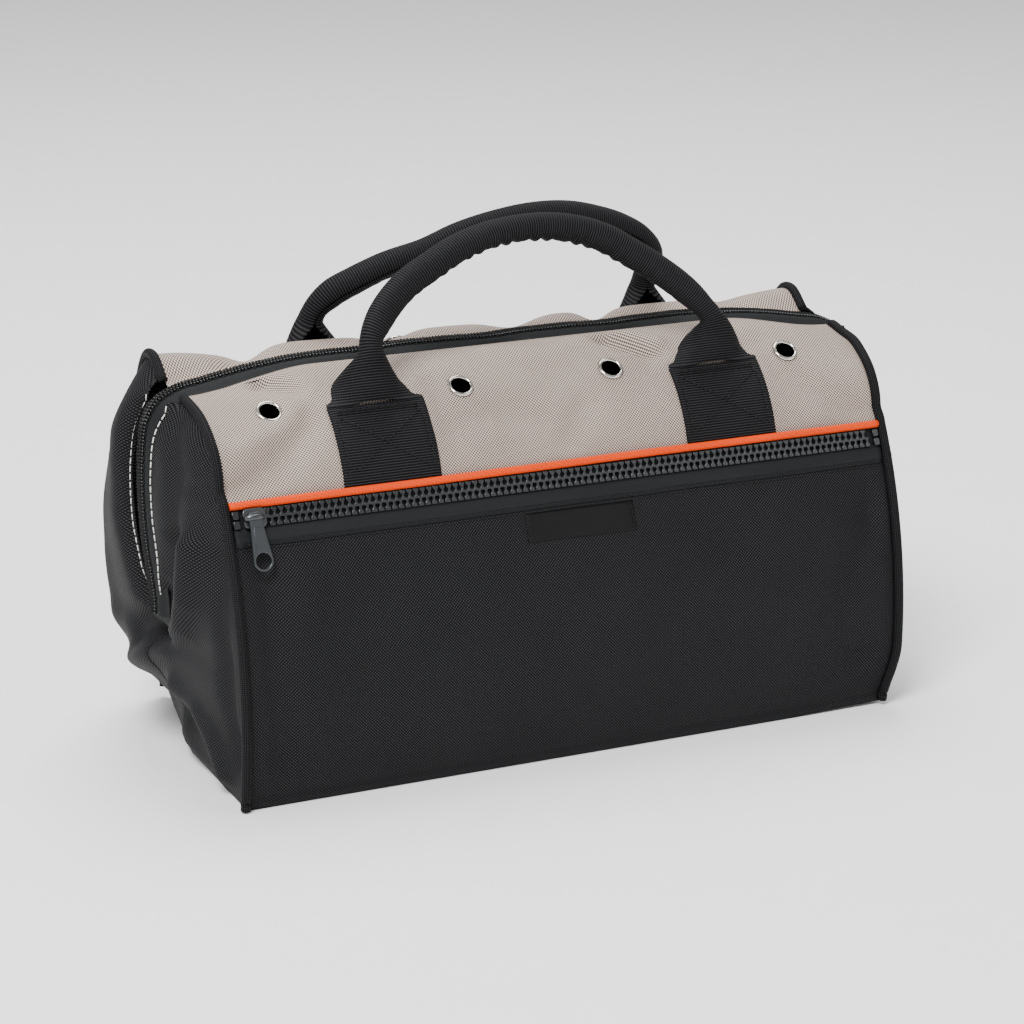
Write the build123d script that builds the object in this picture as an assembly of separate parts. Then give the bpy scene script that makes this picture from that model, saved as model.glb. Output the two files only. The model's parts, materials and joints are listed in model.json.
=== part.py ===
from build123d import *
import math
import os

# Wide-mouth field bag: a soft nylon body whose mouth is held by two hinged steel hoops.
# Frame: origin at the middle of the bottom face, +X along the bag, -Y the pocket side, +Z up.
# All sizes are in millimetres.

# --- overall sizes -------------------------------------------------------------------------
length = 360.0  # between the outer edges of the two end panels
base_depth = 170.0  # of the bottom, front to rear
seam_height = 147.0  # where the upper band meets the walls
seam_half_depth = 65.5  # half the depth of the bag at that seam
wall_bulge = 12.0  # how far a wall bows out between the base and the seam
band_centre_height = 131.5  # the upper band is a round arc about this height
end_bulge = 15.5  # how far an end panel bows out at its fullest, beyond its foot
end_foot_bulge = 2.0
end_full_height = 125.0  # where an end panel is fullest

# --- cloth, board and clearances -----------------------------------------------------------
cloth = 1.2  # thickness of the coated woven nylon
base_cloth = 1.5  # bottom panel, two layers
board = 3.0  # stiffener in the bottom
seam_gap = 0.3  # between neighbouring pieces that do not touch
sweep_gap = 0.6  # between pieces that pass each other as the mouth opens
pocket_depth = 7.5  # of the pocket at the base
pocket_top_depth = 5.0  # of the pocket at the seam
inner_wall_bulge = 6.0

# --- piping --------------------------------------------------------------------------------
edge_piping_radius = 2.5
accent_piping_radius = 1.9

# --- mouth ---------------------------------------------------------------------------------
pivot_height = 80.0  # the two hoops turn about a line along X at this height
zip_foot_rise = 3.0  # lowest end of the top zip above the pivot
mouth_gap = 0.6  # between the front and rear halves of the closed zip
tape_width = 10.8  # zip tape from the mouth's middle to the band's edge
tape_thickness = 1.0
tooth_width = 2.8  # of one row of teeth
tooth_height = 2.0
zip_drop = 9.5  # how far the zip falls from its crown to its corners
zip_crown_half = 125.0  # half length of its level middle
zip_corner_radius = 17.0
rod_radius = 2.0
rod_inset_side = 13.0  # from the zip to the middle of the hoop's rod, at the ends
rod_inset_top = 6.0
rod_offset = 5.0  # of each hoop's rod from the mouth's middle plane
pin_radius = 2.0
pin_clearance = 0.06
lug_radius = 6.0
lug_thickness = 1.5
lug_rise = 13.0  # from the pivot to where the rod begins

# --- webbing and handles -------------------------------------------------------------------
webbing_width = 50.8
webbing_thickness = 1.2
anchor_spacing = 186.8  # between the middles of the two anchors of a handle
fold_angle = 48.6  # of the anchors' top edge, round the band from the level
handle_rise = 76.0  # from the fold up to the handle's centreline, along the handle
handle_tilt = 20.0  # lean of the standing handle towards the middle
handle_radius = 7.0
core_radius = 4.5
strap_edge_radius = 1.1  # of the flap's flat end
flap_height = 31.0  # over which the flat strap is gathered into a round one
flap_gather = 3.0  # how far the strap's middle moves outward over that height
grip_shoulder = (0.75, 0.74)  # shares of the half spread and of the rise
grip_crown = 0.25  # share of the half spread over which the grip is level

# --- eyelets -------------------------------------------------------------------------------
eyelet_angle = 53.5  # round the band from the level
eyelet_first = -147.0
eyelet_spacings = (101.0, 83.0, 101.0)
eyelet_hole_radius = 4.8
eyelet_wall = 0.6
eyelet_flange_radius = 6.6
eyelet_flange = 0.8
washer_radius = 8.0
washer_thickness = 0.6
barrel_length = 3.4
fit_gap = 0.15

# --- pocket zip ----------------------------------------------------------------------------
pocket_zip_drop = 7.2  # from the seam down to the middle of the chain, along the wall
pocket_zip_end_gap = 4.0  # from the chain's end to the end of the panel
pocket_tooth_pitch = 3.5
pocket_tooth_share = 0.55  # of the pitch that a tooth fills
tooth_shift = 0.25  # of the upper teeth along the pitch, so that the rows mesh
pocket_tooth_length = 3.0  # across the chain, of one row
pocket_tooth_root = 1.1  # the bead that the teeth stand on
pocket_tooth_height = 2.0
chain_split = 1.2  # slot along the middle of the chain, for the slider's post
pocket_tape = 1.0
upper_tape_width = 1.1
lower_tape_width = 8.6
slider_length = 13.0
slider_width = 9.0
slider_corner = 2.5
top_slider_width = 11.0
slider_plate = 1.0
slider_clearance = 0.35
slider_post_length = 3.0
slider_post_width = 0.7
bridge_radius = 1.0
bridge_rise = 2.3  # from the slider's front plate to the middle of its bridge
bridge_post = 1.2
pull_length = 26.0
pull_top_width = 7.4
pull_tip_radius = 5.0
pull_thickness = 1.8
pull_hole_radius = 4.0
pull_recess = 0.5
pull_recess_margin = 5.0  # plain metal above and below the recess
knuckle_radius = 1.95
pull_rest_tilt = 7.0  # of the hanging pull towards the cloth

# --- label ---------------------------------------------------------------------------------
label_width = 59.0
label_height = 13.8
label_thickness = 0.6
label_middle = 2.5
label_drop = 27.5  # from the seam down to the label's middle

FRONT, REAR = -1, 1
LEFT, RIGHT = -1, 1
SIDES = {"front": FRONT, "rear": REAR}
ENDS = {"left": LEFT, "right": RIGHT}


# --- curves of the bag's section, in the YZ plane ------------------------------------------
def bowed_arc(low, high, bulge):
    """Centre and radius of the round arc from low to high that bows outward by bulge."""
    run = (high[0] - low[0], high[1] - low[1])
    span = math.hypot(*run)
    radius = (span**2 / 4 + bulge**2) / (2 * bulge)
    back = (radius - bulge) / span
    middle = ((low[0] + high[0]) / 2, (low[1] + high[1]) / 2)
    return (middle[0] - run[1] * back, middle[1] + run[0] * back, radius)


def depth_on(arc, z, inset=0.0):
    """Distance from the middle plane to an arc, moved in by inset, at height z."""
    return arc[0] + math.sqrt((arc[2] - inset) ** 2 - (z - arc[1]) ** 2)


def height_at_reach(reach, radius):
    """Height where a circle of this reach about the pivot meets the band at this radius."""
    rise = band_centre_height - pivot_height
    return pivot_height + (reach**2 - radius**2 + rise**2) / (2 * rise)


WALL = bowed_arc((base_depth / 2, 0), (seam_half_depth, seam_height), wall_bulge)
INNER_WALL = bowed_arc(
    (base_depth / 2 - pocket_depth, 0),
    (seam_half_depth - pocket_top_depth, seam_height),
    inner_wall_bulge,
)
band_radius = math.hypot(seam_half_depth, seam_height - band_centre_height)
BAND = (0.0, band_centre_height, band_radius)
half_length = length / 2
panel_half = half_length - cloth - seam_gap  # walls stop short of the end panels
wall_foot = base_cloth + seam_gap / 3
band_edge_height = band_centre_height + math.sqrt(
    band_radius**2 - (tape_width + seam_gap) ** 2
)

# pocket zip: a flat strip that touches the wall's arc at the middle of the chain
zip_height = seam_height - pocket_zip_drop * math.cos(
    math.atan2(seam_height - WALL[1], seam_half_depth - WALL[0])
)
zip_lean = math.atan2(zip_height - WALL[1], depth_on(WALL, zip_height) - WALL[0])
pocket_zip_plane = Plane(
    origin=(0, -depth_on(WALL, zip_height), zip_height),
    x_dir=(1, 0, 0),
    z_dir=(0, -math.cos(zip_lean), math.sin(zip_lean)),
)
tooth_top = pocket_tape / 2 + pocket_tooth_height / 2
tooth_foot = tooth_top - pocket_tooth_height
slider_front = tooth_top + slider_clearance + slider_plate
bridge_height = slider_front + bridge_rise
chain_half = chain_split / 2 + pocket_tooth_length

# the moving part of the band stays outside everything on the wall that it passes
slider_reach = (
    math.hypot(depth_on(WALL, zip_height), zip_height - pivot_height)
    + bridge_height
    + knuckle_radius
)
hem_top = height_at_reach(slider_reach, band_radius)
band_foot = height_at_reach(slider_reach + sweep_gap, band_radius - cloth)


def sheet(arc, side, inset, thickness, z_low, z_high, x_from, x_to):
    """Cloth that follows an arc of the section, cut level at z_low and z_high."""
    z_middle = (z_low + z_high) / 2
    outer = [(0, side * depth_on(arc, z, inset), z) for z in (z_low, z_middle, z_high)]
    deep = inset + thickness
    inner = [(0, side * depth_on(arc, z, deep), z) for z in (z_high, z_middle, z_low)]
    edges = [
        ThreePointArc(*outer),
        Line(outer[2], inner[0]),
        ThreePointArc(*inner),
        Line(inner[2], outer[0]),
    ]
    outline = make_face(edges)
    return Pos(x_from, 0, 0) * extrude(outline, x_to - x_from, dir=(1, 0, 0))


def piping(arc, side, outset, radius, x, z_low, z_high):
    """A round cord that follows an arc of the section, at one place along the bag."""
    heights = (z_low, (z_low + z_high) / 2, z_high)
    path = ThreePointArc(*[(x, side * depth_on(arc, z, -outset), z) for z in heights])
    return sweep(Plane(origin=path @ 0, z_dir=path % 0) * Circle(radius), path)


def band_place(side, angle, height):
    """Plane that touches the band at an angle from the level, lifted by height."""
    turn = math.radians(angle)
    out = (0, side * math.cos(turn), math.sin(turn))
    away = band_radius + height
    origin = (0, away * out[1], band_centre_height + away * out[2])
    return Plane(origin=origin, x_dir=(1, 0, 0), z_dir=out)


# --- base and walls ------------------------------------------------------------------------
def base_panel():
    outline = RectangleRounded(length, base_depth + 2 * cloth, edge_piping_radius)
    return extrude(outline, base_cloth)


def base_board():
    half_depth = depth_on(INNER_WALL, base_cloth) - cloth - 2 * seam_gap
    outline = RectangleRounded(length - 8 * cloth, 2 * half_depth, 4 * edge_piping_radius)
    return Pos(0, 0, wall_foot) * extrude(outline, board)


def pocket_panel():
    top = zip_height - chain_half - cloth
    return sheet(WALL, FRONT, 0, cloth, wall_foot, top, -panel_half, panel_half)


def front_inner_wall():
    top = seam_height - seam_gap
    return sheet(INNER_WALL, FRONT, 0, cloth, wall_foot, top, -panel_half, panel_half)


def rear_wall():
    top = seam_height - seam_gap
    return sheet(WALL, REAR, 0, cloth, wall_foot, top, -panel_half, panel_half)


def hem(side):
    foot = seam_height + seam_gap
    return sheet(BAND, side, 0, cloth, foot, hem_top, -panel_half, panel_half)


def accent_piping(side):
    turn = math.degrees(math.asin((seam_height - band_centre_height) / band_radius))
    place = band_place(side, turn, accent_piping_radius + seam_gap / 6)
    start = place.origin
    rod = Plane(origin=(-panel_half, start.Y, start.Z), z_dir=(1, 0, 0))
    return extrude(rod * Circle(accent_piping_radius), 2 * panel_half)


def edge_piping(end, side):
    outset = edge_piping_radius * math.sqrt(0.5) + seam_gap / 2
    x = end * (half_length + outset)
    foot = base_cloth + edge_piping_radius
    top = seam_height - 2 * edge_piping_radius
    return piping(WALL, side, outset, edge_piping_radius, x, foot, top)


def woven_label():
    middle = seam_height - label_drop
    half = label_height / 2
    x_from = label_middle - label_width / 2
    lift = -(label_thickness + seam_gap / 6)
    low, high = middle - half, middle + half
    return sheet(WALL, FRONT, lift, label_thickness, low, high, x_from, x_from + label_width)


# --- end panels ----------------------------------------------------------------------------
def bulge_at(z):
    return end_foot_bulge + end_bulge * math.sin(math.pi / 2 * z / end_full_height)


def half_depth_at(z):
    return depth_on(BAND if z > seam_height else WALL, z)


def end_slice(z, inset):
    """Plan view of an end panel at height z: a crescent of cloth."""
    half = half_depth_at(z) - seam_gap / 3
    tip = half_length
    outer = [(tip, -half, z), (tip + bulge_at(z), 0, z), (tip, half, z)]
    inner = [(x - inset, y, z) for x, y, z in reversed(outer)]
    edges = [
        ThreePointArc(*outer),
        Line(outer[2], inner[0]),
        ThreePointArc(*inner),
        Line(inner[2], outer[0]),
    ]
    return make_face(edges)


def end_shell(heights):
    return loft([end_slice(z, cloth) for z in heights])


def end_panel(end):
    """From the base to the seam, slit down to the foot of the top zip."""
    steps = 5
    rise = (seam_height - wall_foot) / steps
    shell = end_shell([wall_foot + rise * i for i in range(steps + 1)])
    slit_foot = pivot_height + zip_foot_rise
    slit_rise = seam_height - slit_foot + cloth
    slit = Box(
        length, mouth_gap, slit_rise, align=(Align.CENTER, Align.CENTER, Align.MIN)
    )
    shell -= Pos(half_length, 0, slit_foot) * slit
    return shell if end == RIGHT else mirror(shell, Plane.YZ)


def gusset(end, side):
    """The soft corner above the seam, between the band and the top zip."""
    foot = seam_height + seam_gap
    top = hoop_top(0) - zip_drop - zip_corner_radius + 2 * cloth
    shell = end_shell([foot, (foot + top) / 2, top])
    half_space = Box(
        2 * length, base_depth, 2 * length, align=(Align.CENTER, Align.MIN, Align.CENTER)
    )
    half = shell & (Pos(0, mouth_gap / 2, 0) * half_space)
    if side == FRONT:
        half = mirror(half, Plane.XZ)
    return half if end == RIGHT else mirror(half, Plane.YZ)


# --- mouth: zip halves and hoops -----------------------------------------------------------
zip_half = half_length + end_foot_bulge + end_bulge + sweep_gap


def hoop_top(inset):
    return band_edge_height - inset


def hoop_line(side_inset, top_inset, foot):
    """The top zip's line in the XZ plane, moved in: up one end, over the top and down."""
    x = zip_half - side_inset
    crown = hoop_top(top_inset)
    corner = crown - zip_drop
    half = [(x, foot), (x, corner), (zip_crown_half, crown)]
    points = [(-px, pz) for px, pz in half] + [(px, pz) for px, pz in reversed(half)]
    return FilletPolyline(*points, radius=zip_corner_radius - side_inset / 2)


def hoop_ribbon(thickness, y_from, y_to):
    """A flat ribbon that stands on the top zip's line."""
    foot = pivot_height + zip_foot_rise
    outer = hoop_line(-thickness, -thickness, foot)
    inner = hoop_line(0, 0, foot)
    outline = make_face(
        [outer, Line(outer @ 1, inner @ 1), inner, Line(inner @ 0, outer @ 0)]
    )
    flat = Plane.XZ * outline
    ribbon = extrude(flat, y_to - y_from, dir=(0, 1, 0))
    return Pos(0, y_from, 0) * ribbon


def zip_tape(side):
    y_from = mouth_gap / 2 + tooth_width + seam_gap
    ribbon = hoop_ribbon(tape_thickness, y_from, tape_width)
    return ribbon if side == REAR else mirror(ribbon, Plane.XZ)


def zip_teeth(side):
    ribbon = hoop_ribbon(tooth_height, mouth_gap / 2, mouth_gap / 2 + tooth_width)
    return ribbon if side == REAR else mirror(ribbon, Plane.XZ)


def lug_place(side):
    """X of the inner face of one hoop's lug: the two hoops' lugs lie side by side."""
    middle = zip_half - rod_inset_side
    return middle + seam_gap if side == FRONT else middle - seam_gap - lug_thickness


def hoop(side):
    """One steel hoop: a bent rod with a flat lug at each end, bored for the pivot pin."""
    rod_foot = pivot_height + lug_rise
    line = hoop_line(rod_inset_side, rod_inset_top, rod_foot)
    path = Plane(origin=(0, side * rod_offset, 0), x_dir=(1, 0, 0), z_dir=(0, -1, 0)) * line
    rod = sweep(Plane(origin=path @ 0, z_dir=path % 0) * Circle(rod_radius), path)
    eye = Circle(lug_radius)
    reach = (lug_rise + rod_radius, 2 * rod_radius)
    neck_middle = (lug_rise + rod_radius) / 2
    neck = Pos(side * rod_offset, neck_middle) * Rectangle(reach[1], reach[0])
    bridge = Pos(side * rod_offset / 2, lug_radius / 2) * Rectangle(rod_offset, lug_radius)
    bore = Circle(pin_radius + pin_clearance)
    flat = eye + neck + bridge - bore
    made = rod
    for end in ENDS.values():
        x_low = lug_place(side) if end == RIGHT else -lug_place(side) - lug_thickness
        place = Plane(origin=(x_low, 0, pivot_height), x_dir=(0, 1, 0), z_dir=(1, 0, 0))
        made += extrude(place * flat, lug_thickness)
    return made


def pivot(end):
    """Pivot pin with its plate, fixed inside the end panel."""
    plate_in = lug_place(FRONT) + lug_thickness + seam_gap
    plate = Pos(plate_in, 0, pivot_height) * Box(
        lug_thickness,
        4 * lug_radius,
        2 * lug_radius,
        align=(Align.MIN, Align.CENTER, Align.CENTER),
    )
    pin_in = lug_place(REAR) - lug_thickness - seam_gap
    pin = Plane(origin=(pin_in, 0, pivot_height), z_dir=(1, 0, 0))
    shank = extrude(pin * Circle(pin_radius), plate_in - pin_in)
    head = extrude(pin * Circle(lug_radius), lug_thickness)
    made = plate + shank + head
    return made if end == RIGHT else mirror(made, Plane.YZ)


# --- upper band ----------------------------------------------------------------------------
def eyelet_places():
    places = [eyelet_first]
    for spacing in eyelet_spacings:
        places.append(places[-1] + spacing)
    return places


def band_line(side, radius, foot, edge_depth):
    """The band's arc from height foot up to where it comes edge_depth from the middle."""
    low = math.asin((foot - band_centre_height) / radius)
    high = math.acos(edge_depth / radius)
    turns = (low, (low + high) / 2, high)
    points = [
        (0, side * radius * math.cos(a), band_centre_height + radius * math.sin(a))
        for a in turns
    ]
    return ThreePointArc(*points)


def band(side):
    edge_depth = tape_width + seam_gap
    outer = band_line(side, band_radius, band_foot, edge_depth)
    inner = band_line(side, band_radius - cloth, band_foot, edge_depth)
    outline = make_face(
        [outer, Line(outer @ 1, inner @ 1), inner, Line(inner @ 0, outer @ 0)]
    )
    shell = Pos(-panel_half, 0, 0) * extrude(outline, 2 * panel_half, dir=(1, 0, 0))
    hole = Cylinder(eyelet_hole_radius + eyelet_wall + fit_gap, 8 * cloth)
    for x in eyelet_places():
        shell -= Pos(x, 0, 0) * band_place(side, eyelet_angle, 0).location * hole
    return shell


def eyelets(side):
    """Nickel eyelets: a flange outside the cloth and a barrel through it."""
    outer = eyelet_hole_radius + eyelet_wall
    flange = Cylinder(
        eyelet_flange_radius,
        eyelet_flange,
        align=(Align.CENTER, Align.CENTER, Align.MIN),
    )
    flange = fillet(flange.edges().group_by(Axis.Z)[-1], eyelet_flange / 2)
    barrel = Pos(0, 0, -barrel_length) * Cylinder(
        outer, barrel_length, align=(Align.CENTER, Align.CENTER, Align.MIN)
    )
    bore = Cylinder(eyelet_hole_radius, 4 * barrel_length)
    eyelet = flange + barrel - bore
    place = band_place(side, eyelet_angle, fit_gap / 3).location
    return Compound([Pos(x, 0, 0) * place * eyelet for x in eyelet_places()])


def washers(side):
    """The matching ring inside the cloth, under each eyelet."""
    sagitta = washer_radius**2 / (2 * band_radius)
    depth = cloth + sagitta + fit_gap + washer_thickness
    ring = Cylinder(
        washer_radius, washer_thickness, align=(Align.CENTER, Align.CENTER, Align.MIN)
    )
    ring -= Cylinder(eyelet_hole_radius + eyelet_wall + fit_gap, 4 * washer_thickness)
    place = band_place(side, eyelet_angle, -depth).location
    return Compound([Pos(x, 0, 0) * place * ring for x in eyelet_places()])


def anchor(end, side):
    """Webbing patch sewn flat on the band below the handle's fold."""
    lift = -(webbing_thickness + seam_gap / 6)
    low = band_foot + sweep_gap
    high = band_centre_height + band_radius * math.sin(math.radians(fold_angle))
    x_from = end * anchor_spacing / 2 - webbing_width / 2
    return sheet(
        BAND, side, lift, webbing_thickness, low, high, x_from, x_from + webbing_width
    )


def band_piping(end, side):
    outset = edge_piping_radius * math.sqrt(0.5) + seam_gap / 2
    x = end * (half_length + outset)
    foot = band_foot + edge_piping_radius
    top = band_centre_height + math.sqrt(band_radius**2 - (2 * tape_width) ** 2)
    return piping(BAND, side, outset, edge_piping_radius, x, foot, top)


# --- handles -------------------------------------------------------------------------------
def handle_plane(side):
    """Plane of a handle: its origin on the fold's line, local Y up along the handle."""
    lift = webbing_thickness + 2 * webbing_thickness + sweep_gap
    fold = band_place(side, fold_angle + 1, lift).origin
    lean = math.radians(handle_tilt)
    up = Vector(0, -side * math.sin(lean), math.cos(lean))
    across = Vector(1, 0, 0)
    return Plane(origin=fold, x_dir=across, z_dir=across.cross(up))


def grip_line():
    """Centreline of the rounded part, in the handle's plane."""
    gather = anchor_spacing / 2 + flap_gather
    points = [
        (-gather, flap_height),
        (-gather * grip_shoulder[0], handle_rise * grip_shoulder[1]),
        (-gather * grip_crown, handle_rise),
        (gather * grip_crown, handle_rise),
        (gather * grip_shoulder[0], handle_rise * grip_shoulder[1]),
        (gather, flap_height),
    ]
    return FilletPolyline(*points, radius=handle_rise / 2)


def handle_strap(side):
    place = handle_plane(side)
    path = place * grip_line()
    start = Plane(origin=path @ 0, z_dir=path % 0)
    tube = sweep(start * Circle(handle_radius), path)
    made = tube - sweep(start * Circle(core_radius + fit_gap), path)
    for end in ENDS.values():
        low_place = place * Plane(
            origin=(end * anchor_spacing / 2, 0, 0), x_dir=(1, 0, 0), z_dir=(0, 1, 0)
        )
        low = low_place * RectangleRounded(
            webbing_width, 2 * webbing_thickness, strap_edge_radius
        )
        at = path @ (0 if end == LEFT else 1)
        along = path % (0 if end == LEFT else 1)
        along = along if end == LEFT else -along
        high = Plane(origin=at, x_dir=place.z_dir, z_dir=along) * Circle(handle_radius)
        flap = loft([low, high])
        made += flap
        roll_from = end * anchor_spacing / 2 - webbing_width / 2
        roll = Plane(origin=place.origin + Vector(roll_from, 0, 0), z_dir=(1, 0, 0))
        made += extrude(roll * Circle(webbing_thickness), webbing_width)
    return made


def handle_core(side):
    path = handle_plane(side) * grip_line()
    return sweep(Plane(origin=path @ 0, z_dir=path % 0) * Circle(core_radius), path)


# --- pocket zip ----------------------------------------------------------------------------
zip_start = -panel_half + pocket_zip_end_gap
zip_end = panel_half - pocket_zip_end_gap


def strip(x_from, x_to, y_from, y_to, z_from, z_to):
    """A flat strip in the pocket zip's own plane."""
    solid = Pos((x_from + x_to) / 2, (y_from + y_to) / 2, (z_from + z_to) / 2) * Box(
        x_to - x_from, y_to - y_from, z_to - z_from
    )
    return pocket_zip_plane.location * solid


def pocket_tape_strip(upper):
    near = chain_half + seam_gap / 3
    width = upper_tape_width if upper else lower_tape_width
    low, high = (near, near + width) if upper else (-near - width, -near)
    foot = seam_gap / 2
    return strip(-panel_half, panel_half, low, high, foot, foot + pocket_tape)


def pocket_teeth(upper):
    """One row of moulded teeth on its bead, from stop to stop."""
    side = 1 if upper else -1
    count = int((zip_end - zip_start - slider_length) / pocket_tooth_pitch)
    first = zip_start + slider_length
    bead_low = chain_half - pocket_tooth_root
    row = Pos(first + count * pocket_tooth_pitch / 2, side * (chain_half + bead_low) / 2) * (
        Rectangle(count * pocket_tooth_pitch, pocket_tooth_root)
    )
    shift = tooth_shift if upper else 1 - tooth_shift
    tooth = Rectangle(pocket_tooth_pitch * pocket_tooth_share, pocket_tooth_length)
    middle = chain_split / 2 + pocket_tooth_length / 2
    places = [
        Pos(first + (i + shift) * pocket_tooth_pitch, side * middle) for i in range(count)
    ]
    row = row + [place * tooth for place in places]
    return extrude(
        pocket_zip_plane.location * Pos(0, 0, tooth_foot) * row, pocket_tooth_height
    )


def pocket_zip_stops():
    """Moulded end stops beyond the last teeth, above and below the slot."""
    stop_length = pocket_tooth_pitch - seam_gap
    stops = []
    for x in (zip_start - stop_length - seam_gap, zip_end + seam_gap):
        for side in (-1, 1):
            low, high = sorted((side * chain_split / 2, side * chain_half))
            stops.append(strip(x, x + stop_length, low, high, tooth_foot, tooth_top))
    return Compound(stops)


def slider_body(place, size_x, size_y, chain_top, chain_foot):
    """A zip slider: front and back plates, the post between them, and the bridge along X."""
    front = chain_top + slider_clearance
    back = chain_foot - slider_clearance - slider_plate
    plate = extrude(RectangleRounded(size_x, size_y, slider_corner), slider_plate)
    made = Pos(0, 0, front) * plate + Pos(0, 0, back) * plate
    post = Box(
        slider_post_length,
        slider_post_width,
        front - back,
        align=(Align.CENTER, Align.CENTER, Align.MIN),
    )
    made += Pos(0, 0, back) * post
    reach = pull_top_width / 2 + seam_gap
    rise = bridge_rise + bridge_radius
    for x in (-reach - bridge_post / 2, reach + bridge_post / 2):
        leg = Box(
            bridge_post,
            2 * bridge_radius,
            rise,
            align=(Align.CENTER, Align.CENTER, Align.MIN),
        )
        made += Pos(x, 0, front + slider_plate) * leg
    bar = Plane(
        origin=(-reach - bridge_post / 2, 0, front + slider_plate + bridge_rise),
        z_dir=(1, 0, 0),
    )
    made += extrude(bar * Circle(bridge_radius), 2 * reach + bridge_post)
    return place * made


def pull_tab(place, height, tilt):
    """A pull: knuckle round the bridge, tapering plate, recessed face, hole in the tip."""
    tip = -pull_length + pull_tip_radius
    half_top = pull_top_width / 2
    sides = Polyline(
        (-half_top, 0), (half_top, 0), (pull_tip_radius, tip), (-pull_tip_radius, tip), close=True
    )
    plate = make_face(sides) + Pos(0, tip) * Circle(pull_tip_radius)
    plate -= Pos(0, tip) * Circle(pull_hole_radius)
    solid = Pos(0, 0, -pull_thickness / 2) * extrude(plate, pull_thickness)
    recess_length = -tip - 2 * pull_recess_margin
    window = Rectangle(pull_top_width / 2, recess_length)
    recess = extrude(Pos(0, (tip - knuckle_radius) / 2) * window, pull_thickness)
    solid -= Pos(0, 0, pull_thickness / 2 - pull_recess) * recess
    knuckle = Plane(origin=(-half_top, 0, 0), z_dir=(1, 0, 0))
    solid += extrude(knuckle * Circle(knuckle_radius), pull_top_width)
    bore = Plane(origin=(-pull_top_width, 0, 0), z_dir=(1, 0, 0))
    solid -= extrude(bore * Circle(bridge_radius + pin_clearance), 2 * pull_top_width)
    return place * Pos(0, 0, height) * Rot(tilt, 0, 0) * solid


pocket_slider_place = pocket_zip_plane.location * Pos(zip_start + slider_length / 2, 0, 0)


def pocket_slider():
    return slider_body(
        pocket_slider_place, slider_length, slider_width, tooth_top, tooth_foot
    )


# --- top zip's slider, parked at the foot of the right end ---------------------------------
top_slider_middle = pivot_height + zip_foot_rise - slider_length
top_slider_place = Plane(
    origin=(zip_half, 0, top_slider_middle), x_dir=(0, 1, 0), z_dir=(1, 0, 0)
).location


def top_slider():
    return slider_body(top_slider_place, top_slider_width, slider_length, tooth_height, 0)


def top_pull():
    height = tooth_height + slider_clearance + slider_plate + bridge_rise
    return pull_tab(top_slider_place, height, pull_rest_tilt)


# --- all pieces ----------------------------------------------------------------------------
pieces = {
    "base_panel": base_panel(),
    "base_board": base_board(),
    "pocket_panel": pocket_panel(),
    "front_inner_wall": front_inner_wall(),
    "rear_wall": rear_wall(),
    "woven_label": woven_label(),
    "pocket_tape_upper": pocket_tape_strip(True),
    "pocket_tape_lower": pocket_tape_strip(False),
    "pocket_teeth_upper": pocket_teeth(True),
    "pocket_teeth_lower": pocket_teeth(False),
    "pocket_zip_stops": pocket_zip_stops(),
    "pocket_slider": pocket_slider(),
    "pocket_pull": pull_tab(pocket_slider_place, bridge_height, pull_rest_tilt),
    "top_slider": top_slider(),
    "top_pull": top_pull(),
}
for side_name, side in SIDES.items():
    pieces[side_name + "_hem"] = hem(side)
    pieces[side_name + "_accent_piping"] = accent_piping(side)
    pieces[side_name + "_band"] = band(side)
    pieces[side_name + "_eyelets"] = eyelets(side)
    pieces[side_name + "_eyelet_washers"] = washers(side)
    pieces[side_name + "_zip_tape"] = zip_tape(side)
    pieces[side_name + "_zip_teeth"] = zip_teeth(side)
    pieces[side_name + "_hoop"] = hoop(side)
    pieces[side_name + "_handle_strap"] = handle_strap(side)
    pieces[side_name + "_handle_core"] = handle_core(side)
    for end_name, end in ENDS.items():
        corner = end_name + "_" + side_name
        pieces[corner + "_anchor"] = anchor(end, side)
        pieces[corner + "_gusset"] = gusset(end, side)
        pieces[corner + "_edge_piping"] = edge_piping(end, side)
        pieces[corner + "_band_piping"] = band_piping(end, side)
for end_name, end in ENDS.items():
    pieces[end_name + "_end_panel"] = end_panel(end)
    pieces[end_name + "_pivot"] = pivot(end)

os.makedirs("parts", exist_ok=True)
for node, shape in pieces.items():
    export_step(shape, "parts/" + node + ".step")
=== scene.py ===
"""Looks of a wide-mouth field bag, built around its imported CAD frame.

Everything is in the frame of the part: origin at the middle of the bottom face, +X along the bag,
-Y towards the pocket side and +Z up. Shapes are worked out in millimetres and stored in metres.
"""

import json
import math

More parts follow.
